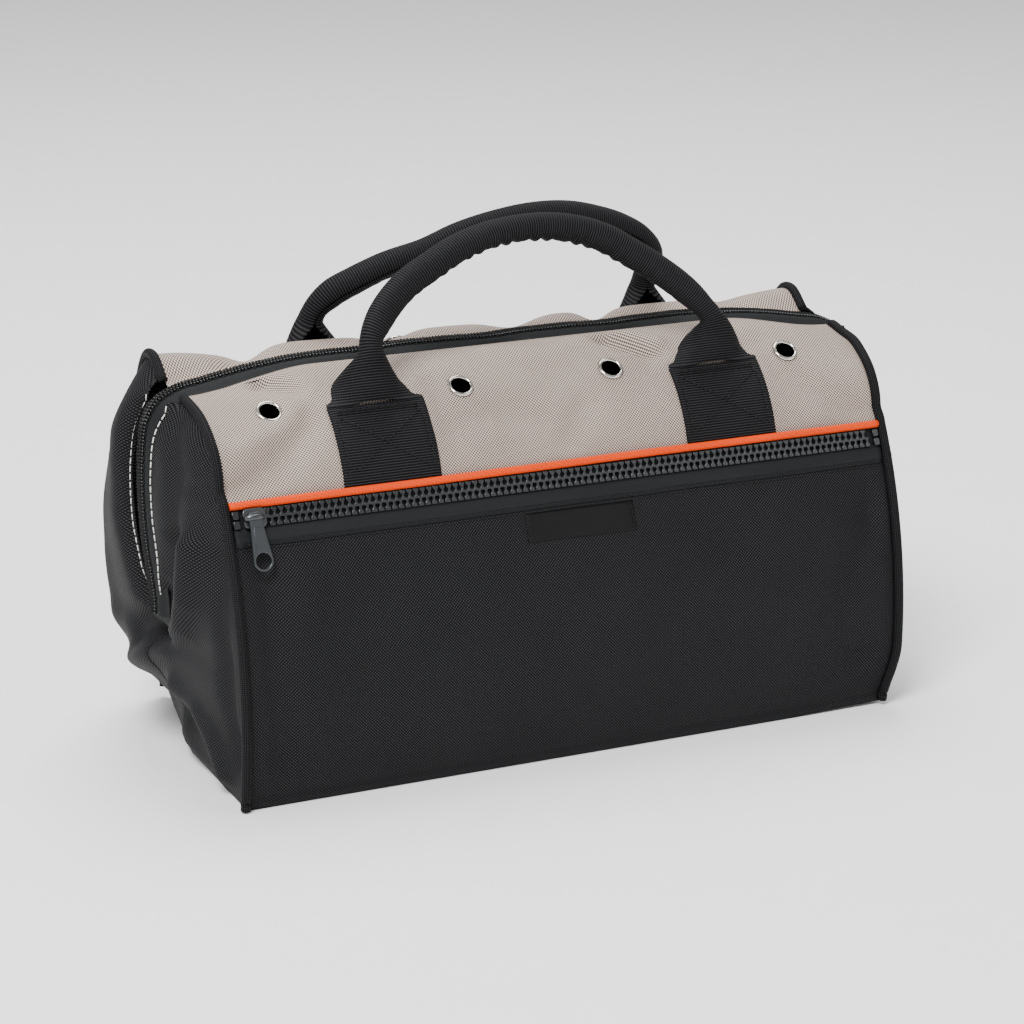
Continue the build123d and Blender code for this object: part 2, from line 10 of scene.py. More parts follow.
import bpy
import numpy as np
from bpy.props import FloatProperty, PointerProperty, StringProperty
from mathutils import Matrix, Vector


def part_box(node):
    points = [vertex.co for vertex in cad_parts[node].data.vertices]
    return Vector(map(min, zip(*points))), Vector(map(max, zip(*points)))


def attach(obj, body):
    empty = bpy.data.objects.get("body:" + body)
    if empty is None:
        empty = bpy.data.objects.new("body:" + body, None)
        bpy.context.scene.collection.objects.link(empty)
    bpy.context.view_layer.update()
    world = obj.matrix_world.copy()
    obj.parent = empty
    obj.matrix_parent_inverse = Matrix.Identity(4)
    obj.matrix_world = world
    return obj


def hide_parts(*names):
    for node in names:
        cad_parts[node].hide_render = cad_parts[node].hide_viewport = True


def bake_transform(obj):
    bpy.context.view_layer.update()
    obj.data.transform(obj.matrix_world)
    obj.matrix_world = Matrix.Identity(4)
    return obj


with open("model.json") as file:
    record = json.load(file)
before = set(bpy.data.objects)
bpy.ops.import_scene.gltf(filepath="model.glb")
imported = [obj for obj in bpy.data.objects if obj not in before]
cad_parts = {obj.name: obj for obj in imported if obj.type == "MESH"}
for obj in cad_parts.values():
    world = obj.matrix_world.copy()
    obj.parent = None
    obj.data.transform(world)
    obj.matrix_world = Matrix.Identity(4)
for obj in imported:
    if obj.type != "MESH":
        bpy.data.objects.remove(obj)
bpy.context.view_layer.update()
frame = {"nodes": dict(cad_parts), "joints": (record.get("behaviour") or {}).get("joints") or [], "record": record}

bl_info = {
    "name": "Field bag looks",
    "version": (1, 0, 0),
    "blender": (4, 5, 0),
    "location": "3D View > Sidebar > Field Bag",
    "description": "Builds the cloth, webbing, zips and metal of a wide-mouth field bag",
    "category": "Object",
}

MM = 0.001
WEAVE_MAP = "cloth_mm"  # UV map that holds each point's place on its cloth, in metres
FRONT, REAR, LEFT, RIGHT = -1, 1, -1, 1
SIDES = {"front": FRONT, "rear": REAR}
ENDS = {"left": LEFT, "right": RIGHT}
BODY = "bag_body"


# --- sizes read from the frame, in millimetres ---------------------------------------------
def corners(node):
    """Lowest and highest corner of a CAD node, in millimetres."""
    low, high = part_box(node)
    return np.array(low) / MM, np.array(high) / MM


def joint(name):
    """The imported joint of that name."""
    return next(j for j in frame["joints"] if j["name"] == name)


ANCHOR_LOW, ANCHOR_HIGH = corners("right_front_anchor")
LABEL_LOW, LABEL_HIGH = corners("woven_label")
HALF_LENGTH = corners("base_panel")[1][0]
PANEL_HALF = corners("front_band")[1][0]
ANCHOR_X = (ANCHOR_LOW[0] + ANCHOR_HIGH[0]) / 2
WEBBING = ANCHOR_HIGH[0] - ANCHOR_LOW[0]
EYELETS = [m for m in frame["record"]["mounts"] if "_eyelet_" in m["name"]]
EYELET_X = sorted(m["pos_m"][0] / MM for m in EYELETS if m["name"].startswith("front"))


class FieldBagSizes(bpy.types.PropertyGroup):
    """Sizes of the soft parts that the frame leaves open."""

    cloth: FloatProperty(
        name="Cloth thickness",
        description="Thickness of the coated nylon",
        default=1.2 * MM,
        unit="LENGTH",
    )
    yarn: FloatProperty(
        name="Yarn spacing",
        description="Spacing of the nylon's yarns, drawn a little coarse so that it shows",
        default=0.8 * MM,
        unit="LENGTH",
    )
    rib: FloatProperty(
        name="Webbing rib",
        description="Spacing of the ribs across the webbing, drawn a little coarse",
        default=1.3 * MM,
        unit="LENGTH",
    )
    piping_radius: FloatProperty(
        name="Edge piping radius",
        description="Radius of the black piping round the ends",
        default=2.5 * MM,
        unit="LENGTH",
    )
    accent_radius: FloatProperty(
        name="Accent piping radius",
        description="Radius of the orange piping along the seam",
        default=1.9 * MM,
        unit="LENGTH",
    )
    fold_depth: FloatProperty(
        name="Fold depth",
        description="Share of the full depth of the folds in the cloth",
        default=1.0,
        min=0.0,
        max=1.5,
        subtype="FACTOR",
    )


class FieldBagColours(bpy.types.PropertyGroup):
    """Colours of the cloths and trims, as sRGB hex values."""

    taupe: StringProperty(name="Band cloth", description="Taupe ballistic nylon", default="#8C7C72")
    black: StringProperty(name="Body cloth", description="Black ballistic nylon", default="#070708")
    accent: StringProperty(name="Accent piping", description="Orange piping", default="#E23A00")
    tape: StringProperty(name="Zip tape", description="Charcoal zip tape", default="#0E1011")


def sizes():
    return bpy.context.scene.field_bag_sizes


def colours():
    return bpy.context.scene.field_bag_colours


# --- the bag's section, front to rear -------------------------------------------------------
def bowed_arc(low, high, bulge):
    """Centre (depth, height) and radius of the round arc from low to high that bows out."""
    run = (high[0] - low[0], high[1] - low[1])
    span = math.hypot(*run)
    radius = (span**2 / 4 + bulge**2) / (2 * bulge)
    back = (radius - bulge) / span
    middle = ((low[0] + high[0]) / 2, (low[1] + high[1]) / 2)
    return middle[0] - run[1] * back, middle[1] + run[0] * back, radius


BASE_DEPTH = 85.0  # from the middle of the bag to the foot of a wall
SEAM_DEPTH = 65.5  # from the middle of the bag to the top of a wall
SEAM_HEIGHT = 147.0  # of the seam between a wall and its band
WALL_BULGE = 12.0
WALL = bowed_arc((BASE_DEPTH, 0.0), (SEAM_DEPTH, SEAM_HEIGHT), WALL_BULGE)
BAND_CENTRE = 131.5  # height of the centre of the band's arc
BAND_RADIUS = math.hypot(SEAM_DEPTH, SEAM_HEIGHT - BAND_CENTRE)
SEAM_ANGLE = math.asin((SEAM_HEIGHT - BAND_CENTRE) / BAND_RADIUS)
ZIP_EDGE = 11.4  # depth at which the band meets the zip tape
BAND_LENGTH = (math.acos(ZIP_EDGE / BAND_RADIUS) - SEAM_ANGLE) * BAND_RADIUS
HANDLE_ANGLE = 48.6  # degrees round the band's arc, where the handles fold
EYELET_ANGLE = 53.5  # degrees round the band's arc, where the eyelets sit
FOLD_ALONG = (math.radians(HANDLE_ANGLE) - SEAM_ANGLE) * BAND_RADIUS
EYELET_ALONG = (math.radians(EYELET_ANGLE) - SEAM_ANGLE) * BAND_RADIUS
ZIP_DROP = 9.5  # how far the zip falls from the crown to an end
CROWN_HALF = 125.0  # half the length over which the zip stays level
BAND_FOLD_GAIN = 1.9
WALL_FOLD_GAIN = 1.5
REAR_SWELL = 6.5
REAR_CORNER_SWELL = 3.0
REAR_TUCK = 22.0
FRONT_TUCK = 6.0
TUCK_LIFT = 0.25  # share of a tuck that lifts the cloth off the ground
END_FULLNESS = {FRONT: 4.0, REAR: 13.0}


def smooth(low, high, t):
    """0 below low, 1 above high, and a smooth step between."""
    x = np.clip((t - low) / (high - low), 0, 1)
    return x * x * (3 - 2 * x)


def spline(places, points):
    """A smooth curve through points, as a function of the place along it."""
    places = np.asarray(places, float)
    points = np.asarray(points, float)
    slopes = np.gradient(points, places, axis=0)

    def at(t):
        t = np.clip(np.asarray(t, float), places[0], places[-1])
        i = np.clip(np.searchsorted(places, t, side="right") - 1, 0, len(places) - 2)
        step = places[i + 1] - places[i]
        s = (t - places[i]) / step
        s, step = s[..., None], step[..., None]
        return (
            (1 + 2 * s) * (1 - s) ** 2 * points[i]
            + s * (1 - s) ** 2 * step * slopes[i]
            + s * s * (3 - 2 * s) * points[i + 1]
            + s * s * (s - 1) * step * slopes[i + 1]
        )

    return at


def crease(a, b, path, depth, width):
    """Height of one fold at the places (a, b): a soft ridge, or a valley where depth is negative."""
    nearest = np.full(np.shape(a), 1e9)
    for (a0, b0), (a1, b1) in zip(path, path[1:]):
        da, db = a1 - a0, b1 - b0
        t = np.clip(((a - a0) * da + (b - b0) * db) / (da * da + db * db), 0, 1)
        nearest = np.minimum(nearest, np.hypot(a - a0 - t * da, b - b0 - t * db))
    return depth * np.exp(-((nearest / width) ** 2))


def ripple(a, b, seed, length=70.0):
    """Gentle unevenness of hand-sewn cloth, about 1 mm high at its strongest."""
    draws = np.random.default_rng(seed)
    total = 0.0
    for scale in (1.0, 1.0, 0.55, 0.55):
        turn, phase = draws.uniform(0, 2 * math.pi, 2)
        along = a * math.cos(turn) + b * math.sin(turn)
        total = total + scale * np.sin(2 * math.pi * along / (length * scale) + phase)
    return total / 3


# folds in the upper band: ((x, distance up from the seam) ...), depth, width
BAND_FOLDS = {
    FRONT: [
        (((-176, 2), (-150, 18), (-127, 37)), -2.4, 9),
        (((-168, 26), (-150, 34), (-128, 56)), 1.4, 8),
        (((-143, 74), (-130, 58)), -2.6, 6),
        (((-62, 26), (-34, 33), (-8, 24)), -1.8, 9),
        (((2, 12), (16, 28)), -1.6, 8),
        (((44, 72), (64, 52)), -3.0, 5.5),
        (((52, 78), (70, 62)), 1.6, 5),
        (((124, 44), (150, 20), (174, 5)), -1.8, 9),
        (((124, 66), (150, 66), (172, 52)), 1.2, 9),
        (((-60, 50), (-66, 30)), -1.8, 6),
        (((-20, 70), (10, 62), (30, 70)), 1.2, 8),
    ],
    REAR: [
        (((-140, 70), (-126, 44)), -4.0, 12),
        (((-60, 72), (-50, 50)), -3.0, 12),
        (((10, 74), (20, 48)), -2.6, 14),
        (((60, 70), (66, 44)), -3.0, 9),
        (((140, 70), (128, 40)), -2.4, 10),
        (((-176, 4), (-150, 20)), -2.0, 10),
        (((176, 4), (148, 22)), -2.0, 10),
    ],
}


def band_folds(side, x, along):
    """Height of the band's folds, which stop at the eyelets, the anchors and the seams."""
    height = 0.5 * ripple(x, along, 11 + side)
    for path, depth, width in BAND_FOLDS[side]:
        height = height + crease(x, along, path, depth, width)
    calm = np.ones(np.shape(x))
    for place in EYELET_X:
        away = np.hypot(x - place, along - EYELET_ALONG)
        calm = calm * (1 - np.exp(-((away / 13.0) ** 2)))
    webbing = smooth(38, 27, np.abs(np.abs(x) - ANCHOR_X)) * (1 - smooth(46, 58, along))
    calm = calm * (1 - 0.9 * webbing)
    held = smooth(0, 10, along) * smooth(0, 6, BAND_LENGTH - along)
    return BAND_FOLD_GAIN * height * calm * held * sizes().fold_depth


def rear_swell(x, along):
    """How far the rear band stands out, where its corner is squarer than the front one's."""
    swell = REAR_SWELL * smooth(20, 58, along) * (1 - smooth(64, BAND_LENGTH, along))
    held = 1 - smooth(44, 30, np.abs(np.abs(x) - ANCHOR_X)) * (1 - smooth(44, 54, along))
    corner = REAR_CORNER_SWELL * smooth(140, 176, np.abs(x)) * smooth(30, 60, along)
    corner = corner * (1 - smooth(66, BAND_LENGTH, along))
    return swell * (0.25 + 0.75 * held) + corner


def band_at(side, x, along, lift=0.0):
    """A point of the upper band: along is the distance up from the seam, in millimetres."""
    angle = SEAM_ANGLE + along / BAND_RADIUS
    reach = BAND_RADIUS + lift + band_folds(side, x, along)
    if side == REAR:
        reach = reach + rear_swell(x, along)
    drop = ZIP_DROP * smooth(CROWN_HALF - 12, HALF_LENGTH, np.abs(x))
    drop = drop * smooth((0.3 if side == FRONT else 0.7) * BAND_LENGTH, BAND_LENGTH, along)
    y = side * reach * np.cos(angle)
    z = BAND_CENTRE + reach * np.sin(angle) - drop
    return np.stack([x + 0 * y, y, z], -1)


def settle(points):
    """The soft lower corners of the bag, which tuck under most at the rear of each end."""
    x, y, z = points[..., 0], points[..., 1], points[..., 2]
    rear = REAR_TUCK * smooth(-60, 120, y) * (1 - smooth(4, 62, z))
    front = FRONT_TUCK * smooth(-40, -88, y) * (1 - smooth(2, 34, z)) * (x > 0)
    near_end = smooth(112, 180, np.abs(x))
    moved = points.copy()
    moved[..., 0] = x - np.sign(x) * (rear + front) * near_end
    moved[..., 2] = z + TUCK_LIFT * (rear + front) * near_end * (1 - smooth(2, 30, z))
    return moved


def wall_depth(z, lift=0.0):
    """Depth of a wall at height z, before its folds."""
    return WALL[0] + np.sqrt((WALL[2] + lift) ** 2 - (z - WALL[1]) ** 2)


# folds in a lower wall: ((x, height) ...), depth, width
WALL_FOLDS = {
    FRONT: [
        (((-165, 128), (-166, 70), (-160, 20)), -1.8, 9),
        (((-150, 120), (-146, 60), (-150, 20)), 1.2, 12),
        (((176, 110), (150, 60), (160, 30)), -1.8, 12),
        (((120, 120), (168, 84)), 1.2, 10),
        (((-60, 8), (20, 12)), -1.0, 10),
        (((-90, 122), (-70, 96)), -1.0, 14),
        (((60, 124), (90, 96)), -1.0, 14),
    ],
    REAR: [
        (((-160, 128), (-150, 60)), -2.0, 12),
        (((160, 128), (150, 50)), -2.0, 12),
        (((-60, 130), (-30, 70)), -1.4, 16),
        (((70, 130), (40, 80)), -1.4, 16),
        (((-110, 20), (110, 24)), -1.2, 10),
    ],
}
BASE_SEAM = 5.5  # height of the seam between a wall and the bottom


def wall_at(side, x, z, lift=0.0):
    """A point of a lower wall at height z."""
    height = 1.1 * ripple(x, z, 5 + side, 90.0)
    for path, depth, width in WALL_FOLDS[side]:
        height = height + crease(x, z, path, depth, width)
    height = WALL_FOLD_GAIN * height * smooth(0, 26, z) * smooth(0, 24, 135 - z)
    height = height * smooth(0, 14, PANEL_HALF - np.abs(x)) * sizes().fold_depth
    groove = -0.9 * np.exp(-(((z - BASE_SEAM) / 0.9) ** 2))
    y = side * wall_depth(z, lift + height + groove)
    return settle(np.stack([x + 0 * y, y, z + 0 * y], -1))


# --- the ends ------------------------------------------------------------------------------
WALL_RUN = 151.0  # along the wall's arc, base to seam
PLATE_COVER = 190.1  # the ends stay outside the steel pivot plates
CORNER_DEPTH = 14.5  # where the piping meets the zip tape
CORNER_ALONG = (math.acos(CORNER_DEPTH / BAND_RADIUS) - SEAM_ANGLE) * BAND_RADIUS
END_RUN = WALL_RUN + CORNER_ALONG


def end_edge(end, side, v):
    """The seam between an end and its wall and band, v from 0 at the base to 1 at the zip."""
    run = np.asarray(v, float) * END_RUN
    x = end * HALF_LENGTH + 0 * run
    low = wall_at(side, end * PANEL_HALF + 0 * run, np.clip(run / WALL_RUN, 0, 1) * SEAM_HEIGHT)
    high = band_at(side, end * PANEL_HALF + 0 * run, np.clip(run - WALL_RUN, 0, None))
    edge = np.where((run > WALL_RUN)[..., None], high, low)
    edge[..., 0] += x - end * PANEL_HALF
    return edge


# the middle of an end: (share of the way up, x, y, z), split round the zip above its foot
END_MIDDLE = [
    (0.0, 177.0, 0.0, 0.5),
    (0.05, 181.5, 0.0, 11.0),
    (0.12, 184.5, 0.0, 28.0),
    (0.21, 191.0, 0.0, 48.0),
    (0.27, 190.0, 0.0, 59.0),
    (0.32, 187.0, 0.2, 68.0),
    (0.37, 191.5, 0.8, 79.0),
    (0.42, 194.5, 6.5, 90.0),
    (0.50, 196.6, 12.0, 107.0),
    (0.62, 198.8, 12.6, 133.0),
    (0.72, 198.8, 12.8, 154.0),
    (0.82, 196.0, 13.0, 172.0),
    (0.90, 189.5, 13.6, 182.5),
    (1.0, 179.8, 14.5, 187.5),
]
MIDDLE_LINE = spline([p[0] for p in END_MIDDLE], [p[1:] for p in END_MIDDLE])

# folds in an end: ((depth towards the rear, height) ...), depth, width
END_FOLDS = [
    (((16, 176), (20, 150), (24, 122), (17, 96), (10, 84)), -13.0, 6.0),
    (((12, 86), (0, 74), (-16, 74)), -7.0, 8),
    (((46, 36), (16, 50), (-11, 63), (-36, 81), (-45, 97), (-50, 124)), 8.0, 7.5),
    (((26, 60), (0, 78), (-24, 96), (-32, 120)), -6.0, 8),
    (((32, 24), (0, 22), (-28, 30)), -5.5, 9),
    (((-16, 42), (-38, 36), (-50, 26), (-60, 10)), 5.5, 7),
    (((20, 30), (-8, 12), (-32, 2)), 3.0, 7),
    (((-66, 122), (-70, 74), (-76, 24)), -3.5, 6),
    (((60, 150), (66, 100), (60, 60)), 3.0, 10),
    (((-24, 178), (-34, 160), (-32, 128)), -3.5, 6.5),
]


def end_weave(points):
    """An end's weave runs level and upright, whatever its outline."""
    return points[:, 1:]


def end_at(end, side, u, v):
    """A point of one half of an end: u from 0 at the piping to 1 at the middle, v up."""
    edge = end_edge(end, side, v)
    middle = MIDDLE_LINE(v)
    middle = middle * np.array([end, side, 1.0])
    point = edge + (middle - edge) * u[..., None]
    fullness = END_FULLNESS[side]
    swell = np.sin(math.pi * u**0.8) ** 0.75 if side == REAR else np.sin(math.pi * u)
    bulge = fullness * swell * smooth(0.02, 0.34, v) * (1 - smooth(0.74, 1.0, v))
    y = point[..., 1]
    z = point[..., 2]
    folds = 0.5 * ripple(y, z, 31 + end)
    for path, depth, width in END_FOLDS:
        folds = folds + crease(y, z, path, depth, width)
    pinned = smooth(0, 0.16, u) * smooth(0, 0.05, v) * (1 - smooth(0.9, 1.0, v))
    free = 1 - smooth(0.9, 1.0, u) * smooth(0.36, 0.42, v)
    point[..., 0] += end * (bulge + folds * pinned * free * sizes().fold_depth)
    plate = (1 - smooth(13, 20, np.abs(y))) * smooth(67, 72, z) * (1 - smooth(192, 198, z))
    short = np.maximum(PLATE_COVER - end * point[..., 0], 0)
    point[..., 0] += end * short * plate
    return point


# --- meshes --------------------------------------------------------------------------------
def add_piece(name, points, faces, material, places=None):
    """A mesh object from points in millimetres; places are each face corner's cloth place."""
    mesh = bpy.data.meshes.new(name)
    mesh.from_pydata((np.asarray(points, float) * MM).tolist(), [], faces)
    mesh.polygons.foreach_set("use_smooth", [True] * len(faces))
    if places is not None:
        layer = mesh.uv_layers.new(name=WEAVE_MAP)
        layer.uv.foreach_set("vector", (np.asarray(places, float) * MM).ravel())
    mesh.materials.append(material)
    piece = bpy.data.objects.new(name, mesh)
    bpy.context.scene.collection.objects.link(piece)
    return piece


def cloth_piece(name, surface, us, vs, thickness, material, outward, holes=(), weave=None):
    """Cloth of a real thickness over a surface: two layers of faces joined round every edge.

    surface gives points for arrays of places (u, v), whose weave follows u and v in millimetres.
    outward is a rough direction of its outer side. holes are (u, v, radius). weave gives the
    place on the cloth for each point, where that isn't (u, v).
    """
    u, v = np.meshgrid(us, vs)
    rows, columns = u.shape
    keep = np.ones((rows - 1, columns - 1), bool)
    for hole_u, hole_v, radius in holes:
        mid_u = (u[1:, 1:] + u[:-1, :-1]) / 2 - hole_u
        mid_v = (v[1:, 1:] + v[:-1, :-1]) / 2 - hole_v
        inside = np.hypot(mid_u, mid_v) < radius
        keep &= ~inside
        near = np.zeros((rows, columns), int)
        for di in (0, 1):
            for dj in (0, 1):
                near[di : rows - 1 + di, dj : columns - 1 + dj] += inside
        rim = (near > 0) & (near < 4)
        away = np.hypot(u - hole_u, v - hole_v)
        scale = np.where(rim, radius / np.maximum(away, 1e-6), 1.0)
        u = hole_u + (u - hole_u) * scale
        v = hole_v + (v - hole_v) * scale
    outer = surface(u, v)
    step = 0.25
    along_u = surface(u + step, v) - surface(u - step, v)
    along_v = surface(u, v + step) - surface(u, v - step)
    normal = np.cross(along_u, along_v)
    normal /= np.maximum(np.linalg.norm(normal, axis=-1, keepdims=True), 1e-9)
    flip = (normal.reshape(-1, 3) @ np.asarray(outward, float)).sum() < 0
    if flip:
        normal = -normal
    count = rows * columns
    points = np.concatenate([outer.reshape(-1, 3), (outer - thickness * normal).reshape(-1, 3)])
    index = np.arange(count).reshape(rows, columns)
    quads = np.stack([index[:-1, :-1], index[:-1, 1:], index[1:, 1:], index[1:, :-1]], -1)[keep]
    if flip:
        quads = quads[:, ::-1]
    edges = np.concatenate([quads[:, [k, (k + 1) % 4]] for k in range(4)])
    code = edges[:, 0] * count + edges[:, 1]
    back = edges[:, 1] * count + edges[:, 0]
    rim = edges[~np.isin(code, back)]
    sides = np.stack([rim[:, 1], rim[:, 0], rim[:, 0] + count, rim[:, 1] + count], -1)
    faces = np.concatenate([quads, quads[:, ::-1] + count, sides])
    used, faces = np.unique(faces, return_inverse=True)
    faces = faces.reshape(-1, 4)
    flat = np.stack([u.ravel(), v.ravel()], -1)
    flat = np.concatenate([flat, flat])[used] if weave is None else weave(points[used])
    return add_piece(name, points[used], faces.tolist(), material, flat[faces.ravel()])


def along_path(path):
    """Distances along a path of points, and its unit directions."""
    steps = np.linalg.norm(np.diff(path, axis=0), axis=1)
    reach = np.concatenate([[0], np.cumsum(steps)])
    ahead = np.gradient(path, axis=0)
    return reach, ahead / np.linalg.norm(ahead, axis=1, keepdims=True)


def tube_piece(name, path, radius, material, sides=14, up=(0, 0, 1), bumps=None):
    """A closed round cord along a path. bumps changes its radius at (angle, distance)."""
    path = np.asarray(path, float)
    reach, ahead = along_path(path)
    across = np.cross(ahead, np.asarray(up, float))
    across /= np.linalg.norm(across, axis=1, keepdims=True)
    over = np.cross(across, ahead)
    angle = np.arange(sides) * 2 * math.pi / sides
    size = np.full((len(path), sides), float(radius))
    if bumps is not None:
        size = size + bumps(angle[None, :], reach[:, None])
    rings = (
        path[:, None]
        + size[..., None] * np.cos(angle)[None, :, None] * across[:, None]
        + size[..., None] * np.sin(angle)[None, :, None] * over[:, None]
    )
    points = rings.reshape(-1, 3)
    faces, places = [], []
    around = 2 * math.pi * radius / sides
    for i in range(len(path) - 1):
        for j in range(sides):
            k = (j + 1) % sides
            faces.append((i * sides + j, i * sides + k, (i + 1) * sides + k, (i + 1) * sides + j))
            places += [
                (j * around, reach[i]),
                ((j + 1) * around, reach[i]),
                ((j + 1) * around, reach[i + 1]),
                (j * around, reach[i + 1]),
            ]
    last = (len(path) - 1) * sides
    faces.append(tuple(range(sides))[::-1])
    faces.append(tuple(range(last, last + sides)))
    places += [(j * around, 0.0) for j in range(sides)] * 2
    return add_piece(name, points, faces, material, places)


def turned_piece(name, outline, centres, material, steps=40):
    """Rings turned from one closed outline of (radius, height), one at each (point, axis)."""
    points, faces = [], []
    for centre, axis in centres:
        axis = np.asarray(axis, float) / np.linalg.norm(axis)
        side = np.cross(axis, (1.0, 0.0, 0.0))
        side /= np.linalg.norm(side)
        other = np.cross(axis, side)
        first = len(points)
        for i in range(steps):
            turn = 2 * math.pi * i / steps
            out = side * math.cos(turn) + other * math.sin(turn)
            points += [np.asarray(centre) + out * r + axis * h for r, h in outline]
        n = len(outline)
        for i in range(steps):
            for j in range(n):
                a = first + i * n + j
                b = first + i * n + (j + 1) % n
                c = first + (i + 1) % steps * n + (j + 1) % n
                d = first + (i + 1) % steps * n + j
                faces.append((a, b, c, d))
    return add_piece(name, points, faces, material)


def many_piece(name, shape, faces, places, material):
    """One mesh of many copies of a small shape. places are (origin, x axis, y axis, z axis)."""
    shape = np.asarray(shape, float)
    points, all_faces = [], []
    for origin, ax, ay, az in places:
        base = len(points) * len(shape)
        points.append(origin + shape[:, :1] * ax + shape[:, 1:2] * ay + shape[:, 2:] * az)
        all_faces += [tuple(base + i for i in face) for face in faces]
    return add_piece(name, np.concatenate(points), all_faces, material)


def pillow(length, width, height, inset=0.28):
    """A small block with softened edges, sitting on its own XY plane."""
    x, y = length / 2, width / 2
    levels = [(1.0, 0.0), (1.0, 1 - inset), (1 - inset, 1.0)]
    points = []
    for share, rise in levels:
        sx, sy = x - (1 - share) * y, y * share
        points += [(-sx, -sy, rise * height), (sx, -sy, rise * height)]
        points += [(sx, sy, rise * height), (-sx, sy, rise * height)]
    faces = [(3, 2, 1, 0), (8, 9, 10, 11)]
    for ring in (0, 4):
        for i in range(4):
            j = (i + 1) % 4
            faces.append((ring + i, ring + j, ring + 4 + j, ring + 4 + i))
    return points, faces


def stitches(name, path, normals, material, length=2.6, gap=1.0, width=0.55):
    """A row of thread stitches that lie on a seam, as one mesh."""
    path, normals = np.asarray(path, float), np.asarray(normals, float)
    reach, ahead = along_path(path)
    shape, faces = pillow(length, width, 0.45)
    places = []
    for start in np.arange(gap, reach[-1] - length, length + gap):
        middle = start + length / 2
        at = np.array([np.interp(middle, reach, path[:, k]) for k in range(3)])
        forward = np.array([np.interp(middle, reach, ahead[:, k]) for k in range(3)])
        forward /= np.linalg.norm(forward)
        up = np.array([np.interp(middle, reach, normals[:, k]) for k in range(3)])
        aside = np.cross(up, forward)
        aside /= np.linalg.norm(aside)
        places.append((at, forward, aside, np.cross(forward, aside)))
    return many_piece(name, shape, faces, places, material)


def plate_shape(outlines, thickness, bevel):
    """Points and faces of a flat plate with rounded edges: an outline, then its holes."""
    curve = bpy.data.curves.new("plate", "CURVE")
    curve.dimensions = "2D"
    curve.fill_mode = "BOTH"
    curve.extrude = thickness / 2 - bevel
    curve.bevel_depth = bevel
    curve.bevel_resolution = 2
    curve.offset = -bevel
    for outline in outlines:
        line = curve.splines.new("POLY")
        line.points.add(len(outline) - 1)
        line.use_cyclic_u = True
        for point, (x, y) in zip(line.points, outline):
            point.co = (x, y, 0.0, 1.0)
    holder = bpy.data.objects.new("plate", curve)
    bpy.context.scene.collection.objects.link(holder)
    made = bpy.data.meshes.new_from_object(holder)
    points = [tuple(v.co) for v in made.vertices]
    faces = [tuple(p.vertices) for p in made.polygons]
    bpy.data.objects.remove(holder)
    bpy.data.curves.remove(curve)
    bpy.data.meshes.remove(made)
    return points, faces


def arc(centre, radius, first, last, steps):
    """Points of a round arc between two angles in degrees."""
    turns = np.radians(np.linspace(first, last, steps))
    return [(centre[0] + radius * math.cos(a), centre[1] + radius * math.sin(a)) for a in turns]


# --- materials -----------------------------------------------------------------------------
def linear(code):
    """A linear colour with alpha from an sRGB hex value."""
    channels = [int(code[i : i + 2], 16) / 255 for i in (1, 3, 5)]
    straight = [c / 12.92 if c <= 0.04045 else ((c + 0.055) / 1.055) ** 2.4 for c in channels]
    return (*straight, 1.0)


def add_node(tree, kind, settings=None, inputs=None):
    """Adds a node with its settings; an input is a value or another node's socket."""
    made = tree.nodes.new(kind)
    for key, value in (settings or {}).items():
        setattr(made, key, value)
    for key, value in (inputs or {}).items():
        socket = made.inputs[key]
        if isinstance(value, bpy.types.NodeSocket):
            tree.links.new(value, socket)
        else:
            socket.default_value = value
    return made


def blank_material(name, **surface):
    """A material with one shader; surface sets the shader's sockets."""
    material = bpy.data.materials.new(name)
    material.use_nodes = True
    tree = material.node_tree
    tree.nodes.clear()
    values = {key.replace("_", " "): value for key, value in surface.items()}
    shader = add_node(tree, "ShaderNodeBsdfPrincipled", inputs=values)
    add_node(tree, "ShaderNodeOutputMaterial", inputs={"Surface": shader.outputs[0]})
    return material, tree, shader


def cloth_waves(tree, spacing_u, spacing_v, turn=0.0):
    """Sine waves along and across the cloth, one full wave for every two spacings."""
    place = add_node(tree, "ShaderNodeUVMap", {"uv_map": WEAVE_MAP})
    turned = add_node(
        tree,
        "ShaderNodeMapping",
        inputs={
            "Vector": place.outputs[0],
            "Rotation": (0.0, 0.0, turn),
        },
    )
    apart = add_node(tree, "ShaderNodeSeparateXYZ", inputs={0: turned.outputs[0]})
    waves = []
    for axis, spacing in ((0, spacing_u), (1, spacing_v)):
        scaled = add_node(
            tree,
            "ShaderNodeMath",
            {"operation": "MULTIPLY"},
            {0: apart.outputs[axis], 1: math.pi / spacing},
        )
        wave = add_node(tree, "ShaderNodeMath", {"operation": "SINE"}, {0: scaled.outputs[0]})
        waves.append(wave.outputs[0])
    return waves


def plain_weave(tree, spacing, turn):
    """Height of a plain weave from 0 to 1: rows of dots where its yarns cross."""
    wave_u, wave_v = cloth_waves(tree, spacing, spacing, turn)
    crossing = add_node(tree, "ShaderNodeMath", {"operation": "MULTIPLY"}, {0: wave_u, 1: wave_v})
    height = add_node(
        tree,
        "ShaderNodeMath",
        {"operation": "MULTIPLY_ADD"},
        {0: crossing.outputs[0], 1: 0.5, 2: 0.5},
    )
    return height.outputs[0]


YARN_GLOSS = 0.1  # dyed yarns trap light between them, so black cloth stays black
TAPE_GLOSS = 0.15


